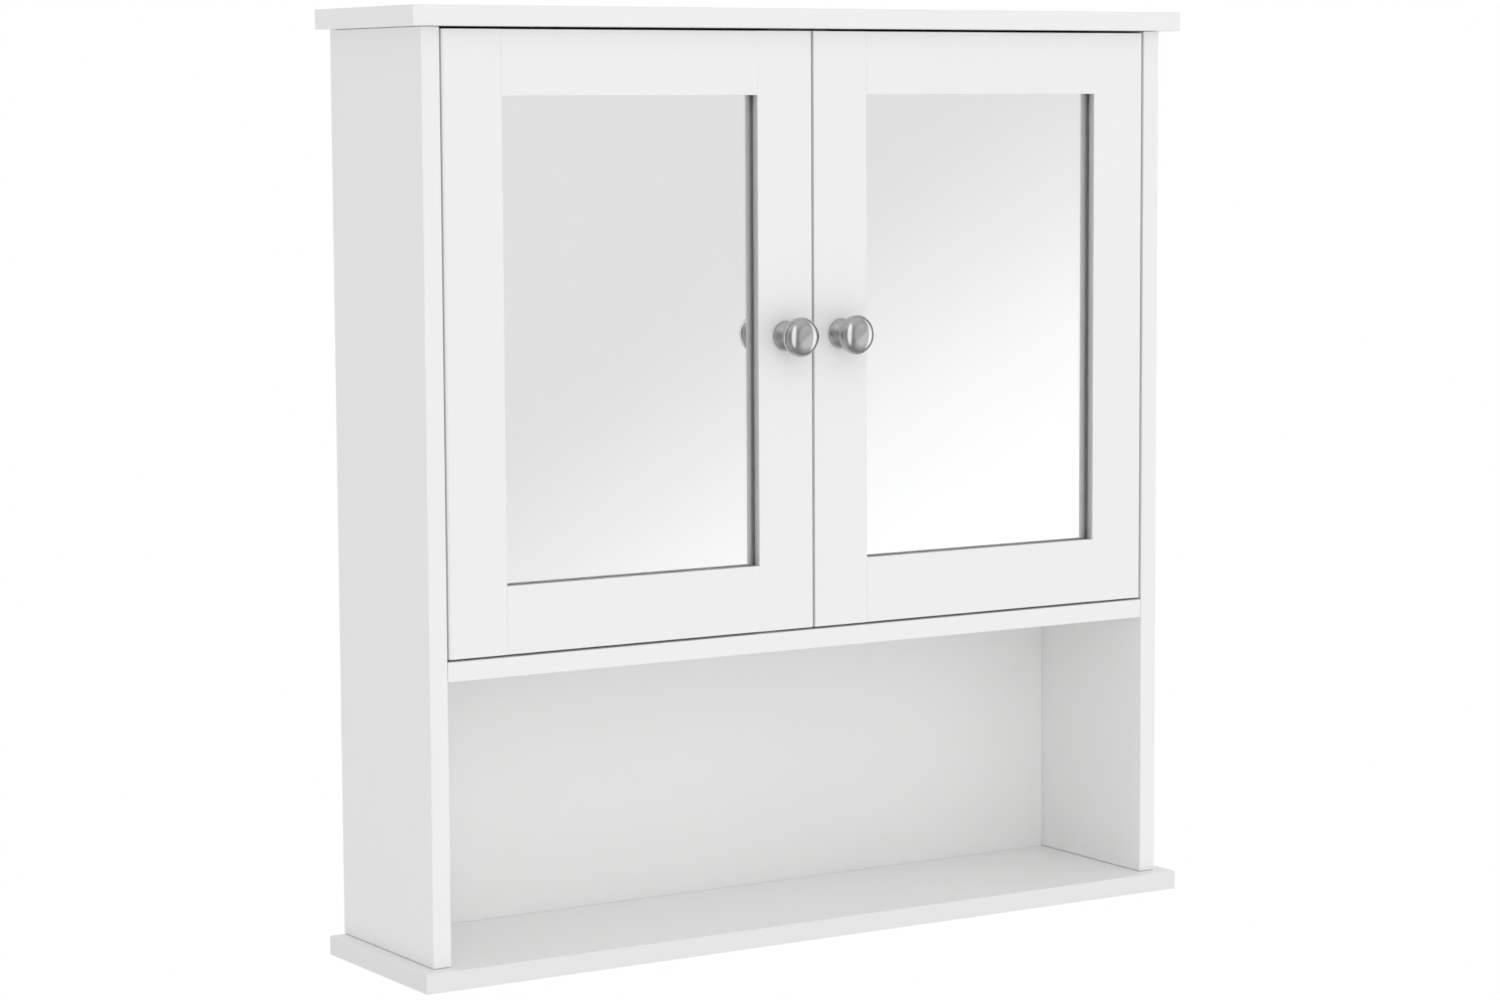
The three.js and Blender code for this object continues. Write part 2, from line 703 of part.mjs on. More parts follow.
function makeHingeCup(name, side, z) {
  const cupX = -side * cupU;
  const flangeV = rearV + SEAM;
  const bottomV = rearV - cupDepth;
  const innerRadius = CUP_RADIUS - CUP_WALL;
  const shell = rod(CUP_RADIUS, mouthV - bottomV, [cupX, bottomV, 0], TO_WALL, ROUND_SIDES);
  const disc = rod(
    CUP_FLANGE_RADIUS,
    CUP_FLANGE_THICKNESS,
    [cupX, flangeV, 0],
    TO_WALL,
    ROUND_SIDES,
  );
  const wings = box(
    [cupX - CUP_WING_WIDTH / 2, flangeV, -CUP_WING_HEIGHT / 2],
    [cupX + CUP_WING_WIDTH / 2, mouthV, CUP_WING_HEIGHT / 2],
  );
  const hollow = rod(
    innerRadius,
    mouthV - bottomV,
    [cupX, bottomV + CUP_WALL, 0],
    TO_WALL,
    ROUND_SIDES,
  );
  const cheekFrom = ARM_WIDTH / 2 + CHEEK_GAP;
  const cheeks = [-1, 1].map((end) =>
    box(
      [-CHEEK_HALF_WIDTH, bottomV + CUP_WALL / 2, end * cheekFrom],
      [CHEEK_HALF_WIDTH, eyeRadius, end * (cheekFrom + CHEEK_THICKNESS)],
    ),
  );
  const pinHoleHalf = cheekFrom + CHEEK_THICKNESS + SEAM;
  const pinHole = rod(eyeBore, 2 * pinHoleHalf, [0, 0, -pinHoleHalf], UP);
  const screwHoles = [-1, 1].map((end) =>
    rod(
      HINGE_SCREW_RADIUS,
      CUP_FLANGE_THICKNESS + 2 * SEAM,
      [cupX, flangeV - SEAM, (end * CUP_SCREW_SPACING) / 2],
      TO_WALL,
    ),
  );
  const body = cut(join(cut(join(shell, disc, wings), hollow), ...cheeks), pinHole, ...screwHoles);
  return piece(`${name}_cup`, placeHinge(body, side, z), pressedSteel);
}

function makeHingePin(name, side, z) {
  const half = ARM_WIDTH / 2 + CHEEK_GAP + CHEEK_THICKNESS;
  const body = rod(PIVOT_RADIUS, 2 * half, [0, 0, -half], UP, SMALL_SIDES);
  return piece(`${name}_pin`, placeHinge(body, side, z), pressedSteel);
}

function makeHinges(doorName, side) {
  return Object.entries(hingeZs).flatMap(([level, z]) => {
    const name = `${doorName}_${level}_hinge`;
    return [
      makeMountingPlate(name, side, z),
      makeHingeArm(name, side, z),
      makeHingeCup(name, side, z),
      makeHingePin(name, side, z),
    ];
  });
}

// ---------------------------------------------------------------- magnetic catch
const catchFront = doorRearY + SEAM + STRIKE_THICKNESS + CATCH_GAP;
const catchTop = topZ - SEAM;
const catchMiddle = catchTop - CATCH_HEIGHT / 2;
const magnetX = CATCH_WIDTH / 4;

function makeCatchHousing() {
  const body = box(
    [-CATCH_WIDTH / 2, catchFront, catchTop - CATCH_HEIGHT],
    [CATCH_WIDTH / 2, catchFront + CATCH_DEPTH, catchTop],
  );
  const pockets = SIDES.map(({ side }) =>
    box(
      [
        side * magnetX - MAGNET_WIDTH / 2 - MAGNET_CLEARANCE,
        catchFront - SEAM,
        catchMiddle - MAGNET_HEIGHT / 2 - MAGNET_CLEARANCE,
      ],
      [
        side * magnetX + MAGNET_WIDTH / 2 + MAGNET_CLEARANCE,
        catchFront + MAGNET_DEPTH + MAGNET_CLEARANCE,
        catchMiddle + MAGNET_HEIGHT / 2 + MAGNET_CLEARANCE,
      ],
    ),
  );
  return piece("catch_housing", cut(body, ...pockets), whitePlastic);
}

function makeMagnet(name, side) {
  return piece(
    `${name}_magnet`,
    box(
      [side * magnetX - MAGNET_WIDTH / 2, catchFront, catchMiddle - MAGNET_HEIGHT / 2],
      [
        side * magnetX + MAGNET_WIDTH / 2,
        catchFront + MAGNET_DEPTH,
        catchMiddle + MAGNET_HEIGHT / 2,
      ],
    ),
    ferrite,
  );
}

function makeStrikePlate(name, side) {
  const centre = side * (doorInner + magnetX);
  const plate = box(
    [centre - STRIKE_WIDTH / 2, doorRearY + SEAM, catchMiddle - STRIKE_HEIGHT / 2],
    [
      centre + STRIKE_WIDTH / 2,
      doorRearY + SEAM + STRIKE_THICKNESS,
      catchMiddle + STRIKE_HEIGHT / 2,
    ],
  );
  const hole = rod(
    STRIKE_HOLE_RADIUS,
    STRIKE_THICKNESS + 2 * SEAM,
    [centre, doorRearY, catchMiddle],
    TO_WALL,
  );
  return piece(`${name}_strike_plate`, cut(plate, hole), pressedSteel);
}

// ---------------------------------------------------------------- assembly
function makeCarcass() {
  const carcass = new THREE.Group();
  carcass.add(
    makeTopBoard(),
    makeBottomBoard(),
    makeFixedShelf(),
    makeBackPanel(),
    makeCatchHousing(),
  );
  for (const { name, side } of SIDES) {
    carcass.add(
      makeSidePanel(name, side),
      makeHanger(name, side),
      ...makeHangerScrews(name, side),
      ...makeBaseScrews(name, side),
      makeMagnet(name, side),
    );
    for (const [place, y] of Object.entries(pinYs)) {
      carcass.add(makeShelfPin(`${name}_${place}_shelf_pin`, side, y));
    }
  }
  return carcass;
}

function makeDoor(name, side) {
  const door = new THREE.Group();
  door.add(
    ...makeStiles(name, side),
    ...makeRails(name, side),
    ...makePanes(name, side),
    makeKnob(name, side),
    makeKnobScrew(name, side),
    makeStrikePlate(name, side),
    ...makeHinges(name, side),
  );
  return door;
}

const cabinet = new THREE.Group();
cabinet.name = "hanging_wall_cabinet";
cabinet.add(makeCarcass(), makeAdjustableShelf());
for (const { name, side } of SIDES) cabinet.add(makeDoor(name, side));
cabinet.position.z = BOARD / 2 - HEIGHT;

export default cabinet;
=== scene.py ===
"""The looks of a hanging wall cabinet with two mirror doors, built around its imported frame.

Everything is in metres, in the cabinet's own frame: X runs along the wall, -Y points into the
room, and Z is up. Places come from the frame's nodes.
"""
import math

import bmesh
import bpy
from bpy.props import FloatProperty, FloatVectorProperty, IntProperty, PointerProperty
from mathutils import Matrix, Vector


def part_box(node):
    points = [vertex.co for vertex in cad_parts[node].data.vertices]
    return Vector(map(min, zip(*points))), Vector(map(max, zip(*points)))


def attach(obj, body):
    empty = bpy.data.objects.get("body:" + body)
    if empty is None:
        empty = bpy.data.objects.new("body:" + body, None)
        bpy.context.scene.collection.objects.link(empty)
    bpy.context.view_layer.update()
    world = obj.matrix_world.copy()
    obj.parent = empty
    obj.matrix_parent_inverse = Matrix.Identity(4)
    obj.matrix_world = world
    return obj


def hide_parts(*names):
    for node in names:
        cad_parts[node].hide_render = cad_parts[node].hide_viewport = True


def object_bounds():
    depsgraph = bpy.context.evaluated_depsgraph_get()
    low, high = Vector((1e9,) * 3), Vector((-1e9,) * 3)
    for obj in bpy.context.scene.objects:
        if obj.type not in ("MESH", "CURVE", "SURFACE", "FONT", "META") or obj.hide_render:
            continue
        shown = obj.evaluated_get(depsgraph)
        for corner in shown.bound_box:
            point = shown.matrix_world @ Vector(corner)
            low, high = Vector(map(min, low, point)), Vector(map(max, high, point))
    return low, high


bl_info = {
    "name": "Hanging Wall Cabinet",
    "version": (1, 0, 0),
    "blender": (4, 5, 0),
    "location": "3D View > Sidebar > Cabinet",
    "description": "Finishes a white wall cabinet with mirror doors around its frame",
    "category": "Object",
}

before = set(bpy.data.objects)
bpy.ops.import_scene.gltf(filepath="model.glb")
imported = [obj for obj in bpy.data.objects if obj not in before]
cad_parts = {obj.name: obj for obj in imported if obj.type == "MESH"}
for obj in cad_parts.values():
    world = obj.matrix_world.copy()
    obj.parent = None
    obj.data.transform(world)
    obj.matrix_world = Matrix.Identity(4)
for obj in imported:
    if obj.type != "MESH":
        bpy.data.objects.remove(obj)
FRAME_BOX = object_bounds()

MM = 0.001
SIDES = {"left": -1, "right": 1}
LEVELS = ("lower", "upper")
RIGHT, BACK, UP = Vector((1, 0, 0)), Vector((0, 1, 0)), Vector((0, 0, 1))
MERGE_DISTANCE = 0.01 * MM
FLAT_ANGLE = math.radians(0.5)
SHARP_ANGLE = math.radians(38)
SAME_PLACE = 0.02 * MM
# An edge is eased where its faces meet at more than this.
EASED_ANGLE = math.radians(50)
# A face looks along an axis where its normal's share along that axis is above this.
LOOKS_ALONG = 0.5
LOOKS_STRAIGHT = 0.9
WHITE = (1, 1, 1, 1)
QUARTER = math.pi / 2


# ---------------------------------------------------------------- settings
def length(name, description, default):
    """A length in metres."""
    return FloatProperty(name=name, description=description, default=default, min=0, unit="LENGTH")


def amount(name, description, default):
    """A plain number."""
    return FloatProperty(name=name, description=description, default=default)


def angle(name, description, degrees):
    """An angle, given in degrees."""
    default = math.radians(degrees)
    return FloatProperty(name=name, description=description, default=default, unit="ROTATION")


def colour(name, description, default):
    """A linear colour."""
    return FloatVectorProperty(
        name=name, description=description, default=default, size=3, subtype="COLOR", min=0, max=1
    )


def position(name, description, default):
    """A place."""
    return FloatVectorProperty(
        name=name, description=description, default=default, size=3, subtype="TRANSLATION"
    )


class CabinetEdges(bpy.types.PropertyGroup):
    """How far the edges of each kind of piece are rounded."""

    board: length("Boards", "Rounding of the carcass boards", 0.7 * MM)
    door: length("Doors", "Rounding round the outside of each door", 0.45 * MM)
    joint: length("Joints", "Rounding where a stile meets its rails", 0.15 * MM)
    rail_fit: length("Rail fit", "How far a rail's end closes up on its stile", 0.14 * MM)
    sheet: length("Sheets", "Rounding of the back panel and backing boards", 0.3 * MM)
    glass: length("Glass", "Ground edge of the mirrors", 0.35 * MM)
    metal: length("Metal", "Rounding of the pressed steel pieces", 0.25 * MM)
    plastic: length("Plastic", "Rounding of the moulded pieces", 0.6 * MM)


class CabinetColours(bpy.types.PropertyGroup):
    """The base colour of each finish."""

    paint: colour("Paint", "Sprayed satin paint", (0.90, 0.90, 0.897))
    # A greyer tone for the bottom board's edges than for its paint.
    greyer_edge: colour("Edging", "Edge tape round the bottom board", (0.825, 0.825, 0.822))
    laminate: colour("Laminate", "Paper laminate on the thin sheets", (0.885, 0.885, 0.881))
    hardboard: colour("Hardboard", "Bare rear of the back panel", (0.29, 0.17, 0.09))
    # Near-black paint on the mirrors' edges: painted shade for the dark line at the rebate.
    edge_shade: colour("Edge seal", "Dark paint on the edges of the mirrors", (0.03, 0.032, 0.032))
    silver: colour("Silver", "Silver behind the glass", (0.93, 0.935, 0.93))
    nickel: colour("Nickel", "Knobs and shelf pins", (0.48, 0.478, 0.474))
    steel: colour("Steel", "Zinc-plated pressings", (0.60, 0.61, 0.62))
    zinc: colour("Zinc", "Screws", (0.58, 0.57, 0.53))
    plastic: colour("Plastic", "Catch housing and caps", (0.82, 0.82, 0.80))
    ferrite: colour("Ferrite", "Magnets", (0.045, 0.046, 0.05))


class CabinetFittings(bpy.types.PropertyGroup):
    """Sizes of the fittings that the frame leaves plain."""

    knob_sides: IntProperty(
        name="Knob sides", description="Steps round each knob", default=96, min=12
    )
    round_sides: IntProperty(
        name="Round sides", description="Steps round each small turned piece", default=40, min=12
    )
    cup_wall: length("Cup wall", "Thickness of a hinge cup", 0.8 * MM)
    cup_screws: length("Cup screws", "From one screw of a cup to the other", 36 * MM)
    plate_screws: length("Plate screws", "From one end screw of a plate to the other", 28 * MM)
    arm_thickness: length("Arm thickness", "Thickness of a hinge arm", 1.6 * MM)
    hinge_screw: length("Hinge screws", "Head radius of the hinge screws", 3.1 * MM)
    catch_screw: length("Catch screws", "Head radius of the catch and strike screws", 2.6 * MM)
    wood_screw: length("Wood screws", "Head radius of the hanger and base screws", 3.5 * MM)
    cap_radius: length("Cap radius", "Radius of the caps over the cam locks", 8.5 * MM)
    cap_inset: length("Cap inset", "From a board's end to the middle of a cap", 24 * MM)
    clip_length: length("Clip length", "Length of a clip that holds a backing board", 15 * MM)
    clip_width: length("Clip width", "Width of such a clip", 10 * MM)
    clip_thickness: length("Clip thickness", "Thickness of such a clip", 1.0 * MM)
    pole_plate: length("Pole plate", "Thickness of the steel plates on a magnet", 0.9 * MM)


class CabinetStudio(bpy.types.PropertyGroup):
    """The camera, the floor and the soft light."""

    lens: amount("Lens", "Focal length on a 36 mm sensor", 91.8)
    place: position("Camera", "Where the camera stands", (-1.294, -2.108, -0.052))
    yaw: angle("Yaw", "How far the camera turns to the right", 32.10)
    pitch: angle("Pitch", "How far the camera looks down", 5.91)
    roll: angle("Roll", "How far the camera leans", -0.29)
    floor_drop: length("Floor", "From the cabinet's lowest point to the floor", 2.2)
    floor_size: length("Floor size", "Length and width of the floor", 60)
    floor_tone: amount("Floor tone", "Reflectance of the floor", 0.88)
    room: amount("Room", "Level of the room's even light", 0.42)
    facing: amount("Facing", "Extra light from where the mirrors look", 0.40)
    ceiling: amount("Ceiling", "Extra light from above", 0.43)
    left: amount("Left", "Extra light from the left", 0.30)
    behind: amount("Behind", "Extra light from behind and from the far side", 0.4)
    strips: amount("Strips", "Extra light from the strips beside the cabinet", 1.3)
    card: amount("Card", "Extra light from the white card that the mirrors show", 0.289)
    camera_side: amount("Camera side", "Extra light from beside the camera, or less of it", -0.2)
    key: amount("Key", "Power of the soft key light, in watts", 2)
    key_size: length("Key size", "Width of the soft key light", 2.6)
    key_place: position("Key place", "From the cabinet to the key light", (-1.3, -2.5, 1.9))


# ---------------------------------------------------------------- node trees
class Value:
    """A socket that takes part in Python expressions by adding Math nodes."""

    def __init__(self, nodes, socket):
        self.nodes = nodes
        self.socket = socket

    def combined(self, operation, first, second):
        return self.nodes.add("ShaderNodeMath", {"operation": operation}, {0: first, 1: second})

    def __add__(self, other):
        return self.combined("ADD", self, other)

    def __radd__(self, other):
        return self.combined("ADD", other, self)

    def __mul__(self, other):
        return self.combined("MULTIPLY", self, other)

    def __rmul__(self, other):
        return self.combined("MULTIPLY", other, self)


class Nodes:
    """A node tree that is built by one method."""

    def __init__(self, tree):
        self.tree = tree
        tree.nodes.clear()

    def add(self, kind, settings=None, values=None, output=0):
        """Adds a node, with its settings first and then its sockets, and gives one output."""
        node = self.tree.nodes.new(kind)
        for name, setting in (settings or {}).items():
            setattr(node, name, setting)
        for name, value in (values or {}).items():
            if isinstance(value, Value):
                self.tree.links.new(value.socket, node.inputs[name])
            else:
                node.inputs[name].default_value = value
        return Value(self, node.outputs[output]) if len(node.outputs) else None


def object_place(nodes):
    return nodes.add("ShaderNodeTexCoord", output="Object")


def noise(nodes, place, scale, detail, stretch=(1, 1, 1)):
    """A noise level from 0 to 1, its features about 1/scale metres wide."""
    stretched = nodes.add("ShaderNodeMapping", values={"Vector": place, "Scale": stretch})
    return nodes.add(
        "ShaderNodeTexNoise",
        values={"Vector": stretched, "Scale": scale, "Detail": detail},
        output="Fac",
    )


def tinted(nodes, level, first, second):
    """A colour between two others."""
    values = {0: level, 6: (*first, 1), 7: (*second, 1)}
    return nodes.add("ShaderNodeMix", {"data_type": "RGBA"}, values, output=2)


def toned(nodes, level, base, low, high=1):
    """A colour between two shares of a base colour."""
    first, second = (tuple(channel * share for channel in base) for share in (low, high))
    return tinted(nodes, level, first, second)


def bumped(nodes, height, distance):
    values = {"Strength": 1.0, "Distance": distance, "Height": height}
    return nodes.add("ShaderNodeBump", values=values, output="Normal")


def finish(nodes, **values):
    """Ends a material in a Principled shader."""
    named = {name.replace("_", " "): value for name, value in values.items()}
    shader = nodes.add("ShaderNodeBsdfPrincipled", values=named, output="BSDF")
    nodes.add("ShaderNodeOutputMaterial", values={"Surface": shader})


# ---------------------------------------------------------------- finishes
def satin_paint(nodes, colours):
    """Sprayed satin paint on fibreboard: a fine orange peel, and a faint cloudiness."""
    place = object_place(nodes)
    cloud = noise(nodes, place, 9, 3)
    peel = noise(nodes, place, 700, 2)
    grain = noise(nodes, place, 4200, 1)
    finish(
        nodes,
        Base_Color=toned(nodes, cloud, colours.paint, 0.985),
        Roughness=0.34 + 0.10 * peel + 0.05 * cloud,
        Normal=bumped(nodes, peel + 0.35 * grain, 0.02 * MM),
        IOR=1.48,
    )


def greyer_edge_finish(nodes, colours):
    """A finish for the bottom board's edges, a little greyer than the paint, with faint lines along it.
    """
    place = object_place(nodes)
    cloud = noise(nodes, place, 11, 3)
    lines = noise(nodes, place, 1500, 2, (0.05, 0.05, 1))
    finish(
        nodes,
        Base_Color=toned(nodes, cloud, colours.greyer_edge, 0.985),
        Roughness=0.36 + 0.12 * lines,
        Normal=bumped(nodes, lines, 0.015 * MM),
        IOR=1.48,
    )


def sheet_laminate(nodes, colours):
    """Paper laminate pressed against a finely pitted plate."""
    place = object_place(nodes)
    cloud = noise(nodes, place, 6, 3)
    pits = noise(nodes, place, 2600, 2)
    finish(
        nodes,
        Base_Color=toned(nodes, cloud, colours.laminate, 0.98),
        Roughness=0.40 + 0.12 * pits,
        Normal=bumped(nodes, pits, 0.02 * MM),
        IOR=1.48,
    )


def bare_hardboard(nodes, colours):
    """Brown hardboard with the weave of the press screen and loose fibres."""
    place = object_place(nodes)
    pitch = 1.7 * MM
    axes = nodes.add("ShaderNodeSeparateXYZ", values={"Vector": place}, output="X")
    upright = nodes.add("ShaderNodeSeparateXYZ", values={"Vector": place}, output="Z")
    across = nodes.add("ShaderNodeMath", {"operation": "SINE"}, {0: axes * (math.tau / pitch)})
    along = nodes.add("ShaderNodeMath", {"operation": "SINE"}, {0: upright * (math.tau / pitch)})
    weave = across * along * 0.5 + 0.5
    fibre = noise(nodes, place, 260, 4, (1, 1, 0.25))
    cloud = noise(nodes, place, 14, 3)
    level = 0.5 * fibre + 0.3 * cloud + 0.2 * weave
    finish(
        nodes,
        Base_Color=toned(nodes, level, colours.hardboard, 0.62, 1.5),
        Roughness=0.72 + 0.18 * fibre,
        Normal=bumped(nodes, weave + 0.6 * fibre, 0.12 * MM),
    )


def float_glass(nodes, colours):
    """Clear float glass, with the faint greyness of fingertips on it."""
    place = object_place(nodes)
    smear = noise(nodes, place, 34, 4, (1, 1, 0.4))
    finish(
        nodes,
        Base_Color=tinted(nodes, smear, (0.975, 0.985, 0.98), (0.985, 0.99, 0.987)),
        Roughness=0.004 * smear,
        IOR=1.52,
        Transmission_Weight=1.0,
    )


def silvering(nodes, colours):
    """Silver on the back of the glass, a little cloudy towards the light."""
    place = object_place(nodes)
    cloud = noise(nodes, place, 12, 2)
    finish(
        nodes,
        Base_Color=toned(nodes, cloud, colours.silver, 0.99),
        Roughness=0.006 + 0.006 * cloud,
        Metallic=1.0,
    )


def edge_shade_paint(nodes, colours):
    """Brushed-on dark paint on the mirrors' edges, painted shade: it darkens the line where the glass
    runs into the unlit rebate.
    """
    place = object_place(nodes)
    strokes = noise(nodes, place, 500, 3, (1, 1, 0.3))
    finish(
        nodes,
        Base_Color=toned(nodes, strokes, colours.edge_shade, 0.7, 1.4),
        Roughness=0.45 + 0.2 * strokes,
        Normal=bumped(nodes, strokes, 0.03 * MM),
    )


def polished_nickel(nodes, colours):
    """Polished nickel with faint turning lines and hair scratches."""
    place = object_place(nodes)
    rings = noise(nodes, place, 900, 2, (0.15, 4, 0.15))
    scratches = noise(nodes, place, 1500, 3, (1, 0.2, 1.6))
    cloud = noise(nodes, place, 90, 3)
    finish(
        nodes,
        Base_Color=toned(nodes, cloud, colours.nickel, 0.92),
        Roughness=0.10 + 0.05 * rings + 0.05 * cloud,
        Normal=bumped(nodes, rings + 0.6 * scratches, 0.004 * MM),
        Metallic=1.0,
    )


def plated(nodes, base, roughness, spangle):
    """Zinc plate: small crystals of slightly different tone, and a dull bloom."""
    place = object_place(nodes)
    crystals = nodes.add(
        "ShaderNodeTexVoronoi", values={"Vector": place, "Scale": spangle}, output="Distance"
    )
    bloom = noise(nodes, place, 120, 4)
    grain = noise(nodes, place, 3000, 2)
    level = 0.5 * crystals + 0.5 * bloom
    finish(
        nodes,
        Base_Color=toned(nodes, level, base, 0.78),
        Roughness=roughness + 0.12 * bloom + 0.06 * grain,
        Normal=bumped(nodes, grain + 0.5 * bloom, 0.01 * MM),
        Metallic=1.0,
    )


def pressed_steel(nodes, colours):
    plated(nodes, colours.steel, 0.24, 420)


def zinc_plate(nodes, colours):
    plated(nodes, colours.zinc, 0.30, 900)


def moulded_plastic(nodes, colours):
    """Moulded plastic with a fine spark-eroded skin."""
    place = object_place(nodes)
    skin = noise(nodes, place, 3200, 2)
    cloud = noise(nodes, place, 60, 2)
    finish(
        nodes,
        Base_Color=toned(nodes, cloud, colours.plastic, 0.96),
        Roughness=0.40 + 0.14 * skin,
        Normal=bumped(nodes, skin, 0.015 * MM),
    )


def sintered_ferrite(nodes, colours):
    """Dark sintered ferrite, ground on its faces."""
    place = object_place(nodes)
    grain = noise(nodes, place, 4500, 3)
    ground = noise(nodes, place, 1200, 2, (0.1, 1, 1))
    finish(
        nodes,
        Base_Color=toned(nodes, grain, colours.ferrite, 0.6, 1.5),
        Roughness=0.50 + 0.2 * grain,
        Normal=bumped(nodes, grain + ground, 0.02 * MM),
        Metallic=0.2,
    )


FINISHES = {
    make.__name__: make
    for make in (
        satin_paint, greyer_edge_finish, sheet_laminate, bare_hardboard, float_glass, silvering,
        edge_shade_paint, polished_nickel, pressed_steel, zinc_plate, moulded_plastic,
        sintered_ferrite,
    )
}


def material(name):
    """The material of that name, made the first time that it is asked for."""
    made = bpy.data.materials.get(name)
    if made is None:
        made = bpy.data.materials.new(name)
        made.use_nodes = True
        FINISHES[name](Nodes(made.node_tree), bpy.context.scene.cabinet_colours)
    return made


# ---------------------------------------------------------------- mesh work
def middle(node):
    low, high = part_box(node)
    return (low + high) / 2


def node_copy(node):
    """A mesh of a frame node, its loose triangles merged back into flat faces."""
    work = bmesh.new()
    work.from_mesh(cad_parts[node].data)
    bmesh.ops.remove_doubles(work, verts=work.verts, dist=MERGE_DISTANCE)
    bmesh.ops.dissolve_limit(
        work, angle_limit=FLAT_ANGLE, verts=work.verts, edges=work.edges, delimit=set()
    )
    return work


def faces_touched(edge, low, high):
    """The axes on which both ends of an edge lie on the same outer face."""
    first, second = (vertex.co for vertex in edge.verts)
    return [
        axis
        for axis in range(3)
        if any(
            abs(first[axis] - face[axis]) < SAME_PLACE and abs(second[axis] - face[axis]) < SAME_PLACE
            for face in (low, high)
        )
    ]


def ease(work, radius, picked, steps=3):
    """Rounds the picked edges."""
    edges = [edge for edge in work.edges if picked(edge)]
    if edges and radius > 0:
        bmesh.ops.bevel(
            work,
            geom=edges,
            offset=radius,
            offset_type="OFFSET",
            segments=steps,
            profile=0.5,
            affect="EDGES",
            clamp_overlap=True,
        )


def outline_of(node):
    """A test for the edges that lie along two outer faces of a node."""
    low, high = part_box(node)
    return lambda edge: len(faces_touched(edge, low, high)) == 2


def sharp_edge(edge):
    """A test for the edges between two faces at a clear angle."""
    return len(edge.link_faces) == 2 and edge.calc_face_angle(0) > EASED_ANGLE


def rounded_box(low, high, radius):
    """A box between two corners with rounded edges."""
    size = Vector(high) - Vector(low)
    work = bmesh.new()
    place = Matrix.Translation((Vector(low) + Vector(high)) / 2) @ Matrix.Diagonal((*size, 1))
    bmesh.ops.create_cube(work, size=1, matrix=place)
    ease(work, radius, lambda edge: True, 2)
    return work


def turned(profile, start, direction, sides):
    """A turned mesh: its profile lists radius and distance along a direction from a start."""
    work = bmesh.new()
    turn = UP.rotation_difference(Vector(direction)).to_matrix()
    rings = []
    for radius, distance in profile:
        if radius < MERGE_DISTANCE:
            spots = [Vector((0, 0, distance))]
        else:
            spots = [
                Vector((radius * math.cos(step), radius * math.sin(step), distance))
                for step in (math.tau * i / sides for i in range(sides))
            ]
        rings.append([work.verts.new(Vector(start) + turn @ spot) for spot in spots])
    for one, other in zip(rings, rings[1:]):
        for i in range(sides):
            corners = [one[i % len(one)], one[(i + 1) % len(one)]]
            corners += [other[(i + 1) % len(other)], other[i % len(other)]]
            unlike = list(dict.fromkeys(corners))
            if len(unlike) > 2:
                work.faces.new(unlike)
    bmesh.ops.recalc_face_normals(work, faces=work.faces)
    return work


def smooth_line(points, steps):
    """A smooth line through points, by Catmull and Rom's rule."""
    line = []
    for i in range(len(points) - 1):
        a, b, c, d = (
            Vector(points[min(max(i + shift, 0), len(points) - 1)]) for shift in (-1, 0, 1, 2)
        )
        for step in range(steps):
            t = step / steps
            bend = (c - a) * t + (2 * a - 5 * b + 4 * c - d) * t**2
            line.append(b + (bend + (3 * b - a - 3 * c + d) * t**3) / 2)
    return line + [Vector(points[-1])]


def joined(*works):
    """One mesh of several."""
    whole = bmesh.new()
    for work in works:
        part = bpy.data.meshes.new("part")
        work.to_mesh(part)
        work.free()
        whole.from_mesh(part)
        bpy.data.meshes.remove(part)
    return whole


def plain_mesh(obj, name):
    """The evaluated mesh of an object, as a mesh of its own."""
    graph = bpy.context.evaluated_depsgraph_get()
    mesh = bpy.data.meshes.new_from_object(obj.evaluated_get(graph))
    mesh.name = name
    return mesh


def new_object(name, mesh):
    obj = bpy.data.objects.new(name, mesh)
    bpy.context.scene.collection.objects.link(obj)
    return obj


def add_piece(name, work, finishes, body, stands_for=()):
    """Turns a mesh into a finished piece that rides on a body."""
    mesh = bpy.data.meshes.new(name)
    work.to_mesh(mesh)
    work.free()
    for finish_name in finishes:
        mesh.materials.append(material(finish_name))
    mesh.shade_smooth()
    mesh.set_sharp_from_angle(angle=SHARP_ANGLE)
    obj = new_object(name, mesh)
    weighted = obj.modifiers.new("weighted", "WEIGHTED_NORMAL")
    weighted.keep_sharp = True
    even = plain_mesh(obj, name)
    obj.modifiers.clear()
    obj.data = even
    settle(obj, body, stands_for)


def settle(obj, body, stands_for=()):
    """Makes a piece ride on its body, and hides what it stands for."""
    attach(obj, body)
    if stands_for:
        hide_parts(*stands_for)


# ---------------------------------------------------------------- carcass
def make_board(node, body="cabinet", greyer_edges=False):
    """A painted board with its outer edges rounded, and with a greyer finish on all its edges if asked.
    """
    work = node_copy(node)
    ease(work, bpy.context.scene.cabinet_edges.board, outline_of(node))
    if greyer_edges:
        # Faces that don't look up or down get the greyer edge finish.
        for face in work.faces:
            face.material_index = 0 if abs(face.normal.z) > LOOKS_ALONG else 1
    finishes = ["satin_paint", "greyer_edge_finish"] if greyer_edges else ["satin_paint"]
    add_piece(f"{node}_painted", work, finishes, body, [node])


def make_back_panel():
    """The back panel: laminate towards the room, bare hardboard towards the wall."""
    work = node_copy("back_panel")
    ease(work, bpy.context.scene.cabinet_edges.sheet, outline_of("back_panel"), 2)
    for face in work.faces:
        face.material_index = 1 if face.normal.y > LOOKS_ALONG else 0
    finishes = ["sheet_laminate", "bare_hardboard"]
    add_piece("back_panel_sheet", work, finishes, "cabinet", ["back_panel"])


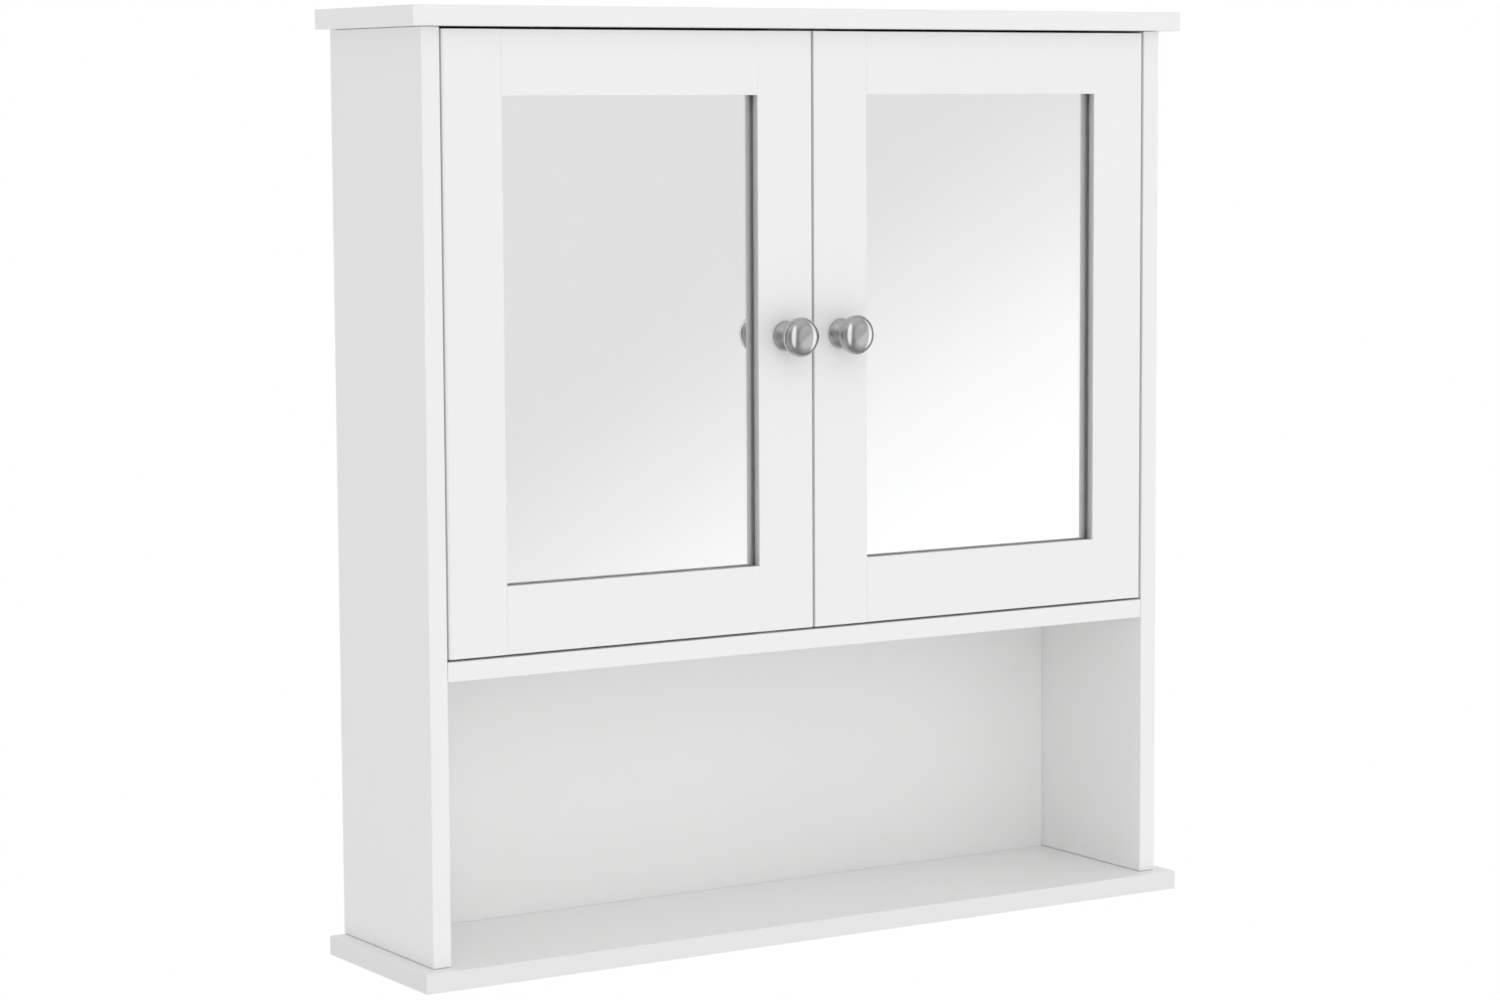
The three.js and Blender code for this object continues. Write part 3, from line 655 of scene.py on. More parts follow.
# ---------------------------------------------------------------- doors
def make_door_frame(side):
    """The stiles and rails of a door. The rails close up on the stiles, as glued joints do."""
    edges = bpy.context.scene.cabinet_edges
    names = {part: f"{side}_{part}" for part in ("hinge_stile", "lock_stile", "top_rail", "bottom_rail")}
    boxes = [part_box(name) for name in names.values()]
    low = Vector(map(min, zip(*(box[0] for box in boxes))))
    high = Vector(map(max, zip(*(box[1] for box in boxes))))
    front = low.y

    def on_outline(edge):
        long_enough = edge.calc_length() > 2 * edges.door
        return long_enough and len(faces_touched(edge, low, high)) == 2

    def on_opening(edge, level_only):
        first, second = (vertex.co for vertex in edge.verts)
        at_front = abs(first.y - front) < SAME_PLACE and abs(second.y - front) < SAME_PLACE
        at_side = any(axis != 1 for axis in faces_touched(edge, low, high))
        is_level = abs(first.z - second.z) < SAME_PLACE
        return at_front and sharp_edge(edge) and not at_side and (is_level or not level_only)

    for part, node in names.items():
        work = node_copy(node)
        is_rail = part.endswith("rail")
        if is_rail:
            close_up(work, node, edges.rail_fit)
        ease(work, edges.joint, lambda edge: on_opening(edge, is_rail), 2)
        ease(work, edges.door, on_outline)
        add_piece(
            f"{node}_painted", work, ["satin_paint"], f"{side}_door", [node]
        )


def close_up(work, node, distance):
    """Moves the ends of a rail out towards its stiles."""
    low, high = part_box(node)
    centre = (low.x + high.x) / 2
    for vertex in work.verts:
        if min(abs(vertex.co.x - low.x), abs(vertex.co.x - high.x)) < SAME_PLACE:
            vertex.co.x += math.copysign(distance, vertex.co.x - centre)


def make_mirror(side):
    """A pane of glass, silvered on its rear face, with dark paint on its edges as painted shade for the
    line where the glass meets the rebate.
    """
    edges = bpy.context.scene.cabinet_edges
    node = f"{side}_mirror"
    low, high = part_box(node)
    work = rounded_box(low, high, edges.glass)
    for face in work.faces:
        # The side faces get the dark edge paint, painted shade for the rebate's dark line.
        at_side = abs(face.normal.y) < LOOKS_ALONG
        face.material_index = 2 if at_side else int(face.normal.y > LOOKS_STRAIGHT)
    finishes = ["float_glass", "silvering", "edge_shade_paint"]
    add_piece(f"{side}_mirror_pane", work, finishes, f"{side}_door", [node])


def make_backing_board(side):
    node = f"{side}_backing_board"
    low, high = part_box(node)
    work = rounded_box(low, high, bpy.context.scene.cabinet_edges.sheet)
    add_piece(
        f"{node}_sheet", work, ["sheet_laminate"], f"{side}_door", [node]
    )


# ---------------------------------------------------------------- knobs
# The outline of a knob from its base on: shares of its length and of its head's radius.
KNOB_BASE = [
    (0.0, 0.770), (0.03, 0.772), (0.07, 0.745), (0.12, 0.665), (0.18, 0.520), (0.24, 0.415),
    (0.30, 0.375), (0.37, 0.395), (0.43, 0.500),
]
KNOB_HEAD = [
    (0.46, 0.600), (0.50, 0.735), (0.56, 0.880), (0.64, 0.972), (0.72, 1.0), (0.79, 0.980),
    (0.86, 0.895), (0.92, 0.730), (0.965, 0.490), (0.99, 0.240), (1.0, 0.0),
]


def make_knob(side):
    """A turned knob: a domed base, a waist and a mushroom head."""
    node = f"{side}_knob"
    low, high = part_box(node)
    head = (high.x - low.x) / 2
    reach = high.y - low.y
    start = (middle(node).x, high.y, middle(node).z)
    line = smooth_line(KNOB_BASE + KNOB_HEAD, 5)
    profile = [(0, 0)] + [(max(share * head, 0), along * reach) for along, share in line]
    sides = bpy.context.scene.cabinet_fittings.knob_sides
    work = turned(profile, start, -BACK, sides)
    add_piece(f"{node}_turned", work, ["polished_nickel"], f"{side}_door", [node])


# ---------------------------------------------------------------- hinges
def make_pressing(node):
    """A steel pressing with its sharp edges eased."""
    work = node_copy(node)
    ease(work, bpy.context.scene.cabinet_edges.metal, sharp_edge, 2)
    add_piece(f"{node}_pressed", work, ["pressed_steel"], "cabinet", [node])


def make_hinge_cup(side, level):
    """A drawn cup with a rolled lip, two wings and the cheeks that hold the pin."""
    fittings = bpy.context.scene.cabinet_fittings
    node = f"{side}_{level}_hinge_cup"
    pin = f"{side}_{level}_hinge_pin"
    low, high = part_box(node)
    pin_low, pin_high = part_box(pin)
    centre = middle(node)
    flange = (high.x - low.x) / 2
    lip_height = 1.2 * MM
    lip_width = 1.5 * MM
    bowl = flange - lip_width
    inner = bowl - fittings.cup_wall
    depth = high.y - low.y
    soft = 0.5 * MM
    profile = [
        (0, 0),
        (bowl - 2 * soft, 0),
        (bowl - 0.6 * soft, 0.5 * soft),
        (bowl, 2 * soft),
        (bowl, depth - lip_height),
        (flange, depth - lip_height),
        (flange, depth - 0.7 * soft),
        (flange - soft, depth),
        (inner + soft, depth),
        (inner + 0.2 * soft, depth - 0.4 * soft),
        (inner, depth - 1.5 * soft),
        (inner, 3 * soft),
        (inner - 0.8 * soft, 2 * soft),
        (inner - 2 * soft, fittings.cup_wall),
        (0, fittings.cup_wall),
    ]
    start = (centre.x, low.y, centre.z)
    shapes = [turned(profile, start, BACK, fittings.round_sides * 2)]
    wing = 7 * MM
    wing_overlap = 1 * MM
    wing_below_lip = 0.1 * MM
    wing_rounding = 0.45 * MM
    cheek = 3 * MM
    cheek_thickness = 1.5 * MM
    cheek_past_pin = 1.0 * MM
    cheek_rounding = 0.3 * MM
    for end, edge_z, pin_z in ((-1, low.z, pin_low.z), (1, high.z, pin_high.z)):
        near = centre.z + end * (bowl - wing_overlap)
        shapes.append(
            rounded_box(
                (centre.x - wing, high.y - lip_height, min(near, edge_z)),
                (centre.x + wing, high.y - wing_below_lip, max(near, edge_z)),
                wing_rounding,
            )
        )
        inside = pin_z - end * cheek_thickness
        shapes.append(
            rounded_box(
                (middle(pin).x - cheek, low.y + fittings.cup_wall / 2, min(pin_z, inside)),
                (middle(pin).x + cheek, pin_high.y + cheek_past_pin, max(pin_z, inside)),
                cheek_rounding,
            )
        )
    add_piece(
        f"{node}_drawn", joined(*shapes), ["pressed_steel"], f"{side}_door", [node]
    )


def make_hinge_pin(side, level):
    fittings = bpy.context.scene.cabinet_fittings
    node = f"{side}_{level}_hinge_pin"
    low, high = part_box(node)
    radius = (high.x - low.x) / 2
    soft = 0.25 * MM
    reach = high.z - low.z
    profile = [
        (0, 0),
        (radius - soft, 0),
        (radius, soft),
        (radius, reach - soft),
        (radius - soft, reach),
        (0, reach),
    ]
    start = (middle(node).x, middle(node).y, low.z)
    work = turned(profile, start, UP, fittings.round_sides)
    add_piece(f"{node}_turned", work, ["pressed_steel"], f"{side}_door", [node])


# ---------------------------------------------------------------- shelf pins
def make_shelf_pin(side, place):
    """A peg with a collar, its tip rounded."""
    node = f"{side}_{place}_shelf_pin"
    low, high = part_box(node)
    sign = SIDES[side]
    collar = (high.z - low.z) / 2
    collar_step = 1.5 * MM
    peg = collar - collar_step
    reach = high.x - low.x
    collar_at = 7.7 * MM
    collar_width = 1.4 * MM
    collar_to = collar_at + collar_width
    soft = 0.4 * MM
    profile = [
        (0, 0),
        (peg - soft, 0),
        (peg, soft),
        (peg, collar_at),
        (collar - soft / 2, collar_at),
        (collar, collar_at + soft / 2),
        (collar, collar_to - soft / 2),
        (collar - soft / 2, collar_to),
        (peg, collar_to),
        (peg, reach - 2 * soft),
        (peg - 0.6 * soft, reach - 0.6 * soft),
        (peg - 2 * soft, reach),
        (0, reach),
    ]
    start = (high.x if sign > 0 else low.x, middle(node).y, middle(node).z)
    sides = bpy.context.scene.cabinet_fittings.round_sides
    work = turned(profile, start, -sign * RIGHT, sides)
    add_piece(f"{node}_turned", work, ["polished_nickel"], "cabinet", [node])


# ---------------------------------------------------------------- magnetic catch
def make_catch():
    """The catch housing, its magnets between steel pole plates, and the strike plates."""
    edges = bpy.context.scene.cabinet_edges
    thickness = bpy.context.scene.cabinet_fittings.pole_plate
    magnet_rounding = 0.2 * MM
    plate_rounding = 0.15 * MM
    proud = Vector((0, 0.2 * MM, 0))
    work = node_copy("catch_housing")
    ease(work, edges.plastic, outline_of("catch_housing"))
    add_piece(
        "catch_housing_moulded", work, ["moulded_plastic"], "cabinet",
        ["catch_housing"],
    )
    for side in SIDES:
        node = f"{side}_magnet"
        low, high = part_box(node)
        step = thickness * UP
        magnet = rounded_box(low + step, high - step, magnet_rounding)
        add_piece(
            f"{node}_block", magnet, ["sintered_ferrite"], "cabinet", [node]
        )
        lower = rounded_box(low - proud, (high.x, high.y, low.z + thickness), plate_rounding)
        upper = rounded_box((low.x, low.y - proud.y, high.z - thickness), high, plate_rounding)
        add_piece(
            f"{side}_pole_plates", joined(lower, upper), ["pressed_steel"], "cabinet"
        )
        node = f"{side}_strike_plate"
        low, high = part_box(node)
        plate = rounded_box(low, high, edges.metal)
        add_piece(
            f"{node}_pressed", plate, ["pressed_steel"], f"{side}_door", [node]
        )


# ---------------------------------------------------------------- repeated fittings
# Each kind of screw: the height of its head, the radius of its shank, and whether it is domed.
SCREWS = {
    "hinge": (1.3 * MM, 1.4 * MM, True),
    "wood": (2.2 * MM, 1.75 * MM, False),
    "strike": (1.6 * MM, 1.3 * MM, False),
    "sheet": (1.1 * MM, 1.3 * MM, True),
    "knob": (2.2 * MM, 2 * MM, True),
}
# How far the screws go in whose length the frame doesn't give.
SCREW_REACH = {"cup": 8 * MM, "plate": 4 * MM, "strike": 9 * MM, "catch": 10 * MM, "clip": 9 * MM}


def screw_shape(head, height, shank, domed, reach):
    """A screw along Z with its head's face at 0 and a cross recess, or domed up to a height."""
    sides = bpy.context.scene.cabinet_fittings.round_sides
    arm = 0.13 * head
    tip = 0.52 * head
    rim_radius = 1.35 * tip
    sink = 0.5 * height
    tip_sink = 0.75 * sink
    taper = 0.8
    dome_steps = 5
    top = height if domed else 0
    seat = 0 if domed else -height
    profile = [(0, -reach), (shank, shank - reach), (shank, seat), (head, 0)]
    if domed:
        profile += [
            (tip + (head - tip) * math.cos(turn), top * math.sin(turn))
            for turn in (QUARTER * (i + 1) / dome_steps for i in range(dome_steps))
        ]
    else:
        profile += [(rim_radius, 0)]
    work = turned(profile, (0, 0, 0), UP, sides)
    rim = [edge for edge in work.edges if edge.is_boundary]
    corners = []
    for quarter in range(4):
        turn = Matrix.Rotation(QUARTER * quarter, 3, "Z")
        corners += [turn @ Vector((x, y, top)) for x, y in ((tip, -arm), (tip, arm), (arm, arm))]
    upper = [work.verts.new(corner) for corner in corners]
    lower = [
        work.verts.new((corner.x * taper, corner.y * taper, top - (sink if i % 3 == 2 else tip_sink)))
        for i, corner in enumerate(corners)
    ]
    count = len(upper)
    brim = [work.edges.new((upper[i], upper[(i + 1) % count])) for i in range(count)]
    for i in range(count):
        following = (i + 1) % count
        work.faces.new((upper[i], upper[following], lower[following], lower[i]))
    work.faces.new(lower)
    bmesh.ops.triangle_fill(work, use_beauty=True, edges=rim + brim, normal=(0, 0, 1))
    bmesh.ops.recalc_face_normals(work, faces=work.faces)
    return work


def clip_shape():
    """An offset clip: a foot on the frame, a step down, and a toe on the backing board."""
    fittings = bpy.context.scene.cabinet_fittings
    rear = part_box("left_hinge_stile")[1].y
    clearance = 0.05 * MM
    rounding = 0.2 * MM
    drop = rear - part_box("left_backing_board")[1].y - clearance
    lower_bend = (0.3 * MM, 0.9 * MM)
    upper_bend = (1.8 * MM, 1.2 * MM)
    thick = fittings.clip_thickness
    heel = -0.6 * fittings.clip_length
    toe = 0.4 * fittings.clip_length
    outline = [
        (heel, 0),
        (lower_bend[0], 0),
        (lower_bend[1], -drop),
        (toe, -drop),
        (toe, thick - drop),
        (upper_bend[0], thick - drop),
        (upper_bend[1], thick),
        (heel, thick),
    ]
    half = fittings.clip_width / 2
    work = bmesh.new()
    near = [work.verts.new((x, -half, z)) for x, z in outline]
    far = [work.verts.new((x, half, z)) for x, z in outline]
    count = len(outline)
    work.faces.new(near)
    work.faces.new(list(reversed(far)))
    for i in range(count):
        following = (i + 1) % count
        work.faces.new((near[following], near[i], far[i], far[following]))
    bmesh.ops.recalc_face_normals(work, faces=work.faces)
    ease(work, rounding, sharp_edge, 2)
    return work


def cap_shape():
    """A low domed cap with a soft rim."""
    fittings = bpy.context.scene.cabinet_fittings
    radius = fittings.cap_radius
    rise = 1.0 * MM
    rim_share = 0.45
    steps = 6
    dome = [
        (radius * math.cos(turn), rise * (rim_share + (1 - rim_share) * math.sin(turn)))
        for turn in (QUARTER * i / steps for i in range(steps + 1))
    ]
    return turned([(0, 0), (radius, 0), *dome], (0, 0, 0), UP, fittings.round_sides)


def fitting_tree():
    """Puts one shape on every point, turned to the point's own directions."""
    name = "fittings_on_points"
    tree = bpy.data.node_groups.get(name)
    if tree is not None:
        return tree
    tree = bpy.data.node_groups.new(name, "GeometryNodeTree")
    kinds = {
        "Points": "NodeSocketGeometry",
        "Shape": "NodeSocketObject",
        "Size": "NodeSocketFloat",
        "Turn": "NodeSocketFloat",
        "Seed": "NodeSocketInt",
        "Finish": "NodeSocketMaterial",
    }
    for label, kind in kinds.items():
        tree.interface.new_socket(label, in_out="INPUT", socket_type=kind)
    tree.interface.new_socket("Fittings", in_out="OUTPUT", socket_type="NodeSocketGeometry")
    nodes = Nodes(tree)
    given = {label: nodes.add("NodeGroupInput", output=label) for label in kinds}
    toward = {
        label: nodes.add(
            "GeometryNodeInputNamedAttribute", {"data_type": "FLOAT_VECTOR"}, {"Name": label}
        )
        for label in ("facing", "along")
    }
    upright = nodes.add(
        "FunctionNodeAlignRotationToVector", {"axis": "Z"}, {"Vector": toward["facing"]}
    )
    aligned = nodes.add(
        "FunctionNodeAlignRotationToVector",
        {"axis": "X", "pivot_axis": "Z"},
        {"Rotation": upright, "Vector": toward["along"]},
    )
    chance = nodes.add(
        "FunctionNodeRandomValue",
        {"data_type": "FLOAT"},
        {"Min": 0.0, "Max": given["Turn"], "Seed": given["Seed"]},
        output=1,
    )
    spin = nodes.add("FunctionNodeAxisAngleToRotation", values={"Axis": UP, "Angle": chance})
    rotation = nodes.add(
        "FunctionNodeRotateRotation",
        {"rotation_space": "LOCAL"},
        {"Rotation": aligned, "Rotate By": spin},
    )
    shape = nodes.add(
        "GeometryNodeObjectInfo", values={"Object": given["Shape"]}, output="Geometry"
    )
    placed = nodes.add(
        "GeometryNodeInstanceOnPoints",
        values={
            "Points": given["Points"],
            "Instance": shape,
            "Rotation": rotation,
            "Scale": given["Size"],
        },
    )
    real = nodes.add("GeometryNodeRealizeInstances", values={"Geometry": placed})
    painted = nodes.add(
        "GeometryNodeSetMaterial", values={"Geometry": real, "Material": given["Finish"]}
    )
    nodes.add("NodeGroupOutput", values={"Fittings": painted})
    return tree


def place_fittings(name, body, work, spots, finish_name, stands_for=(), turn=0.0, seed=1):
    """Makes one piece of a shape repeated at spots, each a place, a facing and a direction."""
    shape_mesh = bpy.data.meshes.new(f"{name}_shape")
    work.to_mesh(shape_mesh)
    work.free()
    shape_mesh.shade_smooth()
    shape_mesh.set_sharp_from_angle(angle=SHARP_ANGLE)
    shape = new_object(f"{name}_shape", shape_mesh)
    points = bpy.data.meshes.new(f"{name}_points")
    points.from_pydata([place for place, _, _ in spots], [], [])
    for label, index in (("facing", 1), ("along", 2)):
        attribute = points.attributes.new(label, "FLOAT_VECTOR", "POINT")
        attribute.data.foreach_set("vector", [part for spot in spots for part in spot[index]])
    obj = new_object(name, points)
    modifier = obj.modifiers.new("fittings", "NODES")
    modifier.node_group = fitting_tree()
    given = {
        "Shape": shape,
        "Size": 1.0,
        "Turn": turn,
        "Seed": seed,
        "Finish": material(finish_name),
    }
    for item in modifier.node_group.interface.items_tree:
        if item.in_out == "INPUT" and item.name in given:
            modifier[item.identifier] = given[item.name]
    made = plain_mesh(obj, name)
    obj.modifiers.clear()
    obj.data = made
    bpy.data.objects.remove(shape)
    settle(obj, body, stands_for)


def place_screws(name, body, kind, head, reach, spots, seed, stands_for=()):
    """Makes one piece of equal screws, each turned by chance by up to a quarter."""
    shape = screw_shape(head, *SCREWS[kind], reach)
    place_fittings(name, body, shape, spots, "zinc_plate", stands_for, QUARTER, seed)


def hinge_screw_spots(side, level):
    """Where the cup's screws and the mounting plate's screws go."""
    fittings = bpy.context.scene.cabinet_fittings
    inward = -SIDES[side] * RIGHT
    cup_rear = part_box(f"{side}_{level}_hinge_cup")[1].y
    plate_low, plate_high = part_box(f"{side}_{level}_hinge_mounting_plate")
    cup = middle(f"{side}_{level}_hinge_cup")
    plate = middle(f"{side}_{level}_hinge_mounting_plate")
    cup_spots = [
        (Vector((cup.x, cup_rear, cup.z + end * fittings.cup_screws / 2)), BACK, RIGHT)
        for end in (-1, 1)
    ]
    plate_x = plate_high.x if side == "left" else plate_low.x
    plate_spots = [
        (Vector((plate_x, plate.y, plate.z + end * fittings.plate_screws / 2)), inward, UP)
        for end in (-1, 1)
    ]
    arm_low, arm_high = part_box(f"{side}_{level}_hinge_arm")
    tail_x = (arm_low.x if side == "left" else arm_high.x) + inward.x * fittings.arm_thickness
    plate_spots.append((Vector((tail_x, plate.y, plate.z)), inward, UP))
    return cup_spots, plate_spots


def make_hinge_screws():
    """The screws of the hinge cups, and those of the mounting plates and arms."""
    head = bpy.context.scene.cabinet_fittings.hinge_screw
    plate_spots = []
    for side in SIDES:
        door_spots = []
        for level in LEVELS:
            cups, plates = hinge_screw_spots(side, level)
            door_spots += cups
            plate_spots += plates
        place_screws(
            f"{side}_cup_screws", f"{side}_door", "hinge", head, SCREW_REACH["cup"], door_spots, 3
        )
    place_screws(
        "mounting_plate_screws", "cabinet", "hinge", head, SCREW_REACH["plate"], plate_spots, 4
    )


def make_driven_screws(side, kind):
    """The pair of hanger screws or base screws on one side."""
    nodes = [f"{side}_{kind}_screw_{i}" for i in (1, 2)]
    from_rear = kind == "hanger"
    spots = []
    for node in nodes:
        low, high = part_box(node)
        place = middle(node)
        if from_rear:
            place.y = high.y
        else:
            place.z = low.z
        spots.append((place, BACK if from_rear else -UP, RIGHT))
    reach = (high - low).y if from_rear else (high - low).z
    head = bpy.context.scene.cabinet_fittings.wood_screw
    name = f"{side}_{kind}_screws_driven"
    place_screws(name, "cabinet", "wood", head, reach, spots, 5, nodes)


def make_wood_screws():
    """The hanger, base, knob, strike and catch screws."""
    head = bpy.context.scene.cabinet_fittings.catch_screw
    strike_proud = 0.05 * MM
    for side in SIDES:
        make_driven_screws(side, "hanger")
        make_driven_screws(side, "base")
        make_knob_screw(side)
        strike = middle(f"{side}_strike_plate")
        strike.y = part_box(f"{side}_strike_plate")[1].y + strike_proud
        place_screws(
            f"{side}_strike_screw", f"{side}_door", "strike", head, SCREW_REACH["strike"],
            [(strike, BACK, RIGHT)], 6,
        )
    low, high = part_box("catch_housing")
    depth_share = 0.62
    rear = low.y + depth_share * (high.y - low.y)
    spots = [
        (Vector((sign * (high.x - low.x) / 4, rear, low.z)), -UP, RIGHT) for sign in (-1, 1)
    ]
    place_screws("catch_screws", "cabinet", "sheet", head, SCREW_REACH["catch"], spots, 7)


def make_knob_screw(side):
    """The domed screw that holds a knob, with the underside of its head on the stile."""
    node = f"{side}_knob_screw"
    low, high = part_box(node)
    place = middle(node)
    place.y = high.y - SCREWS["knob"][0]
    head = (high.x - low.x) / 2
    reach = place.y - low.y
    name = f"{node}_driven"
    place_screws(name, f"{side}_door", "knob", head, reach, [(place, BACK, RIGHT)], 8, [node])


def make_backing_clips():
    """Six screwed clips round the rear of each mirror, and their screws."""
    fittings = bpy.context.scene.cabinet_fittings
    to_screw = 0.32 * fittings.clip_length
    for side in SIDES:
        low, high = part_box(f"{side}_backing_board")
        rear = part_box(f"{side}_hinge_stile")[1].y
        centre = (low + high) / 2
        upright = (high.z - low.z) / 6
        places = [
            (Vector((x, rear, centre.z + end * upright)), inward)
            for x, inward in ((low.x, RIGHT), (high.x, -RIGHT))
            for end in (-1, 1)
        ]
        places += [
            (Vector((centre.x, rear, low.z)), UP),
            (Vector((centre.x, rear, high.z)), -UP),
        ]
        clip_spots = [(place, BACK, inward) for place, inward in places]
        place_fittings(
            f"{side}_backing_clips", f"{side}_door", clip_shape(), clip_spots,
            "pressed_steel",
        )
        screw_spots = [
            (place - inward * to_screw + BACK * fittings.clip_thickness, BACK, RIGHT)
            for place, inward in places
        ]
        place_screws(
            f"{side}_clip_screws", f"{side}_door", "sheet", fittings.catch_screw,
            SCREW_REACH["clip"], screw_spots, 9,
        )


def make_cam_caps():
    """Caps over the cam locks inside the bay and under the fixed shelf."""
    inset = bpy.context.scene.cabinet_fittings.cap_inset
    low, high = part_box("fixed_shelf")
    from_front, from_rear = 0.25, 0.2
    depths = (low.y + from_front * (high.y - low.y), high.y - from_rear * (high.y - low.y))
    spots = []
    for side, sign in SIDES.items():
        panel_low, panel_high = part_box(f"{side}_side_panel")
        inner = panel_high.x if side == "left" else panel_low.x
        for depth in depths:
            spots.append((Vector((inner, depth, panel_high.z - inset)), -sign * RIGHT, UP))
            spots.append((Vector((sign * (high.x - inset), depth, low.z)), -UP, RIGHT))
    place_fittings(
        "cam_caps", "cabinet", cap_shape(), spots, "moulded_plastic"
    )


# ---------------------------------------------------------------- stage
CAMERA_REACH = 200
FLOOR_ROUGHNESS = 0.6
# The floor starts to brighten this far from the cabinet, and is white from the second distance.
FLOOR_FADE = (1.2, 5.0)


def make_camera(studio):
    forward = Vector(
        (
            math.sin(studio.yaw) * math.cos(studio.pitch),
            math.cos(studio.yaw) * math.cos(studio.pitch),
            -math.sin(studio.pitch),
        )
    )
    level_right = Vector((math.cos(studio.yaw), -math.sin(studio.yaw), 0))
    level_up = level_right.cross(forward)
    right = level_right * math.cos(studio.roll) + level_up * math.sin(studio.roll)
    up = right.cross(forward)
    data = bpy.data.cameras.new("camera")
    data.lens = studio.lens
    data.clip_end = CAMERA_REACH
    camera = new_object("camera", data)
    camera.matrix_world = Matrix.Translation(studio.place) @ Matrix(
        (right, up, -forward)
    ).transposed().to_4x4()
    bpy.context.scene.camera = camera


# Where the soft lights stand: a direction, the angles in degrees at which a light ends and is
# full, and how much taller than wide it is.
GLOWS = {
    "facing": [((0.58, -0.80, -0.05), 36, 25)],
    "ceiling": [((0, -0.3, 1), 70, 20)],
    "left": [((-1, 0.1, -0.1), 80, 20)],
    "behind": [((0.55, 0.83, 0.1), 60, 30)],
    "strips": [((-0.34, -0.94, 0.08), 17, 10, 4), ((0.93, -0.36, 0), 10, 6, 5)],
    "camera_side": [((-0.86, -0.50, 0), 26, 12, 1.6)],
}
# The white card's edge runs aslant: its level rises with this slope of the direction.
CARD_GLOW = ((0.62, -0.72, -0.30), 42, 20)
CARD_SLOPE = Vector((7.05, 0, -8.56))
CARD_START = 4.03


def make_world(studio):
    """An even pale room with softer and brighter parts, and white where the camera looks."""
    world = bpy.data.worlds.new("studio")
    world.use_nodes = True
    nodes = Nodes(world.node_tree)
    toward = nodes.add("ShaderNodeTexCoord", output="Generated")

    def glow(direction, edge, full, tall=1):
        """1 near a direction, falling to 0 past an edge, both in degrees, and taller than wide."""
        squeeze = Vector((1, 1, 1 / tall))
        squeezed = nodes.add(
            "ShaderNodeVectorMath", {"operation": "MULTIPLY"}, {0: toward, 1: squeeze}
        )
        unit = nodes.add("ShaderNodeVectorMath", {"operation": "NORMALIZE"}, {0: squeezed})
        centre = (Vector(direction) * squeeze).normalized()
        along = nodes.add(
            "ShaderNodeVectorMath", {"operation": "DOT_PRODUCT"}, {0: unit, 1: centre}, "Value"
        )
        return nodes.add(
            "ShaderNodeMapRange",
            {"interpolation_type": "SMOOTHSTEP"},
            {
                "Value": along,
                "From Min": math.cos(math.radians(edge)),
                "From Max": math.cos(math.radians(full)),
            },
        )

    slope = nodes.add(
        "ShaderNodeVectorMath",
        {"operation": "DOT_PRODUCT"},
        {0: toward, 1: CARD_SLOPE},
        "Value",
    )
    card_edge = nodes.add(
        "ShaderNodeMapRange",
        {"interpolation_type": "SMOOTHSTEP"},
        {"Value": slope, "From Min": CARD_START, "From Max": CARD_START + 1},
    )
    level = studio.room + studio.card * card_edge * glow(*CARD_GLOW)
    for name, spots in GLOWS.items():
        for spot in spots:
            level = level + getattr(studio, name) * glow(*spot)
    lit = nodes.add("ShaderNodeBackground", values={"Color": WHITE, "Strength": level})
    plain = nodes.add("ShaderNodeBackground", values={"Color": WHITE, "Strength": 1.0})
    seen = nodes.add("ShaderNodeLightPath", output="Is Camera Ray")
    mixed = nodes.add("ShaderNodeMixShader", values={0: seen, 1: lit, 2: plain})
    nodes.add("ShaderNodeOutputWorld", values={"Surface": mixed})
    bpy.context.scene.world = world


def make_floor(studio):
    """A wide pale floor that brightens to white with distance."""
    low, high = FRAME_BOX
    height = low.z - studio.floor_drop
    centre = Vector(((low.x + high.x) / 2, (low.y + high.y) / 2, height))
    work = bmesh.new()
    bmesh.ops.create_grid(
        work, x_segments=8, y_segments=8, size=studio.floor_size / 2,
        matrix=Matrix.Translation(centre),
    )
    mesh = bpy.data.meshes.new("floor")
    work.to_mesh(mesh)
    work.free()
    floor = new_object("floor", mesh)
    made = bpy.data.materials.new("studio_floor")
    made.use_nodes = True
    nodes = Nodes(made.node_tree)
    place = object_place(nodes)
    away = nodes.add(
        "ShaderNodeVectorMath", {"operation": "DISTANCE"}, {0: place, 1: centre}, "Value"
    )
    far = nodes.add(
        "ShaderNodeMapRange",
        {"interpolation_type": "SMOOTHSTEP"},
        {"Value": away, "From Min": FLOOR_FADE[0], "From Max": FLOOR_FADE[1]},
    )
    tone = studio.floor_tone
    near_shader = nodes.add(
        "ShaderNodeBsdfPrincipled",
        values={"Base Color": (tone, tone, tone, 1), "Roughness": FLOOR_ROUGHNESS},
    )
    far_shader = nodes.add("ShaderNodeEmission", values={"Color": WHITE, "Strength": 1.0})
    mixed = nodes.add("ShaderNodeMixShader", values={0: far, 1: near_shader, 2: far_shader})
    nodes.add("ShaderNodeOutputMaterial", values={"Surface": mixed})
    mesh.materials.append(made)
    floor.visible_glossy = False
    floor.visible_transmission = False


def make_key_light(studio):
    """One large soft light in front on the left, which the mirrors and knobs don't show."""
    low, high = FRAME_BOX
    centre = (low + high) / 2
    place = centre + Vector(studio.key_place)
    data = bpy.data.lights.new("key", "AREA")
    data.shape = "DISK"
    data.size = studio.key_size
    data.energy = studio.key
    light = new_object("key", data)
    light.visible_glossy = False
    light.visible_transmission = False
    light.location = place
    light.rotation_euler = (place - centre).to_track_quat("Z", "Y").to_euler()


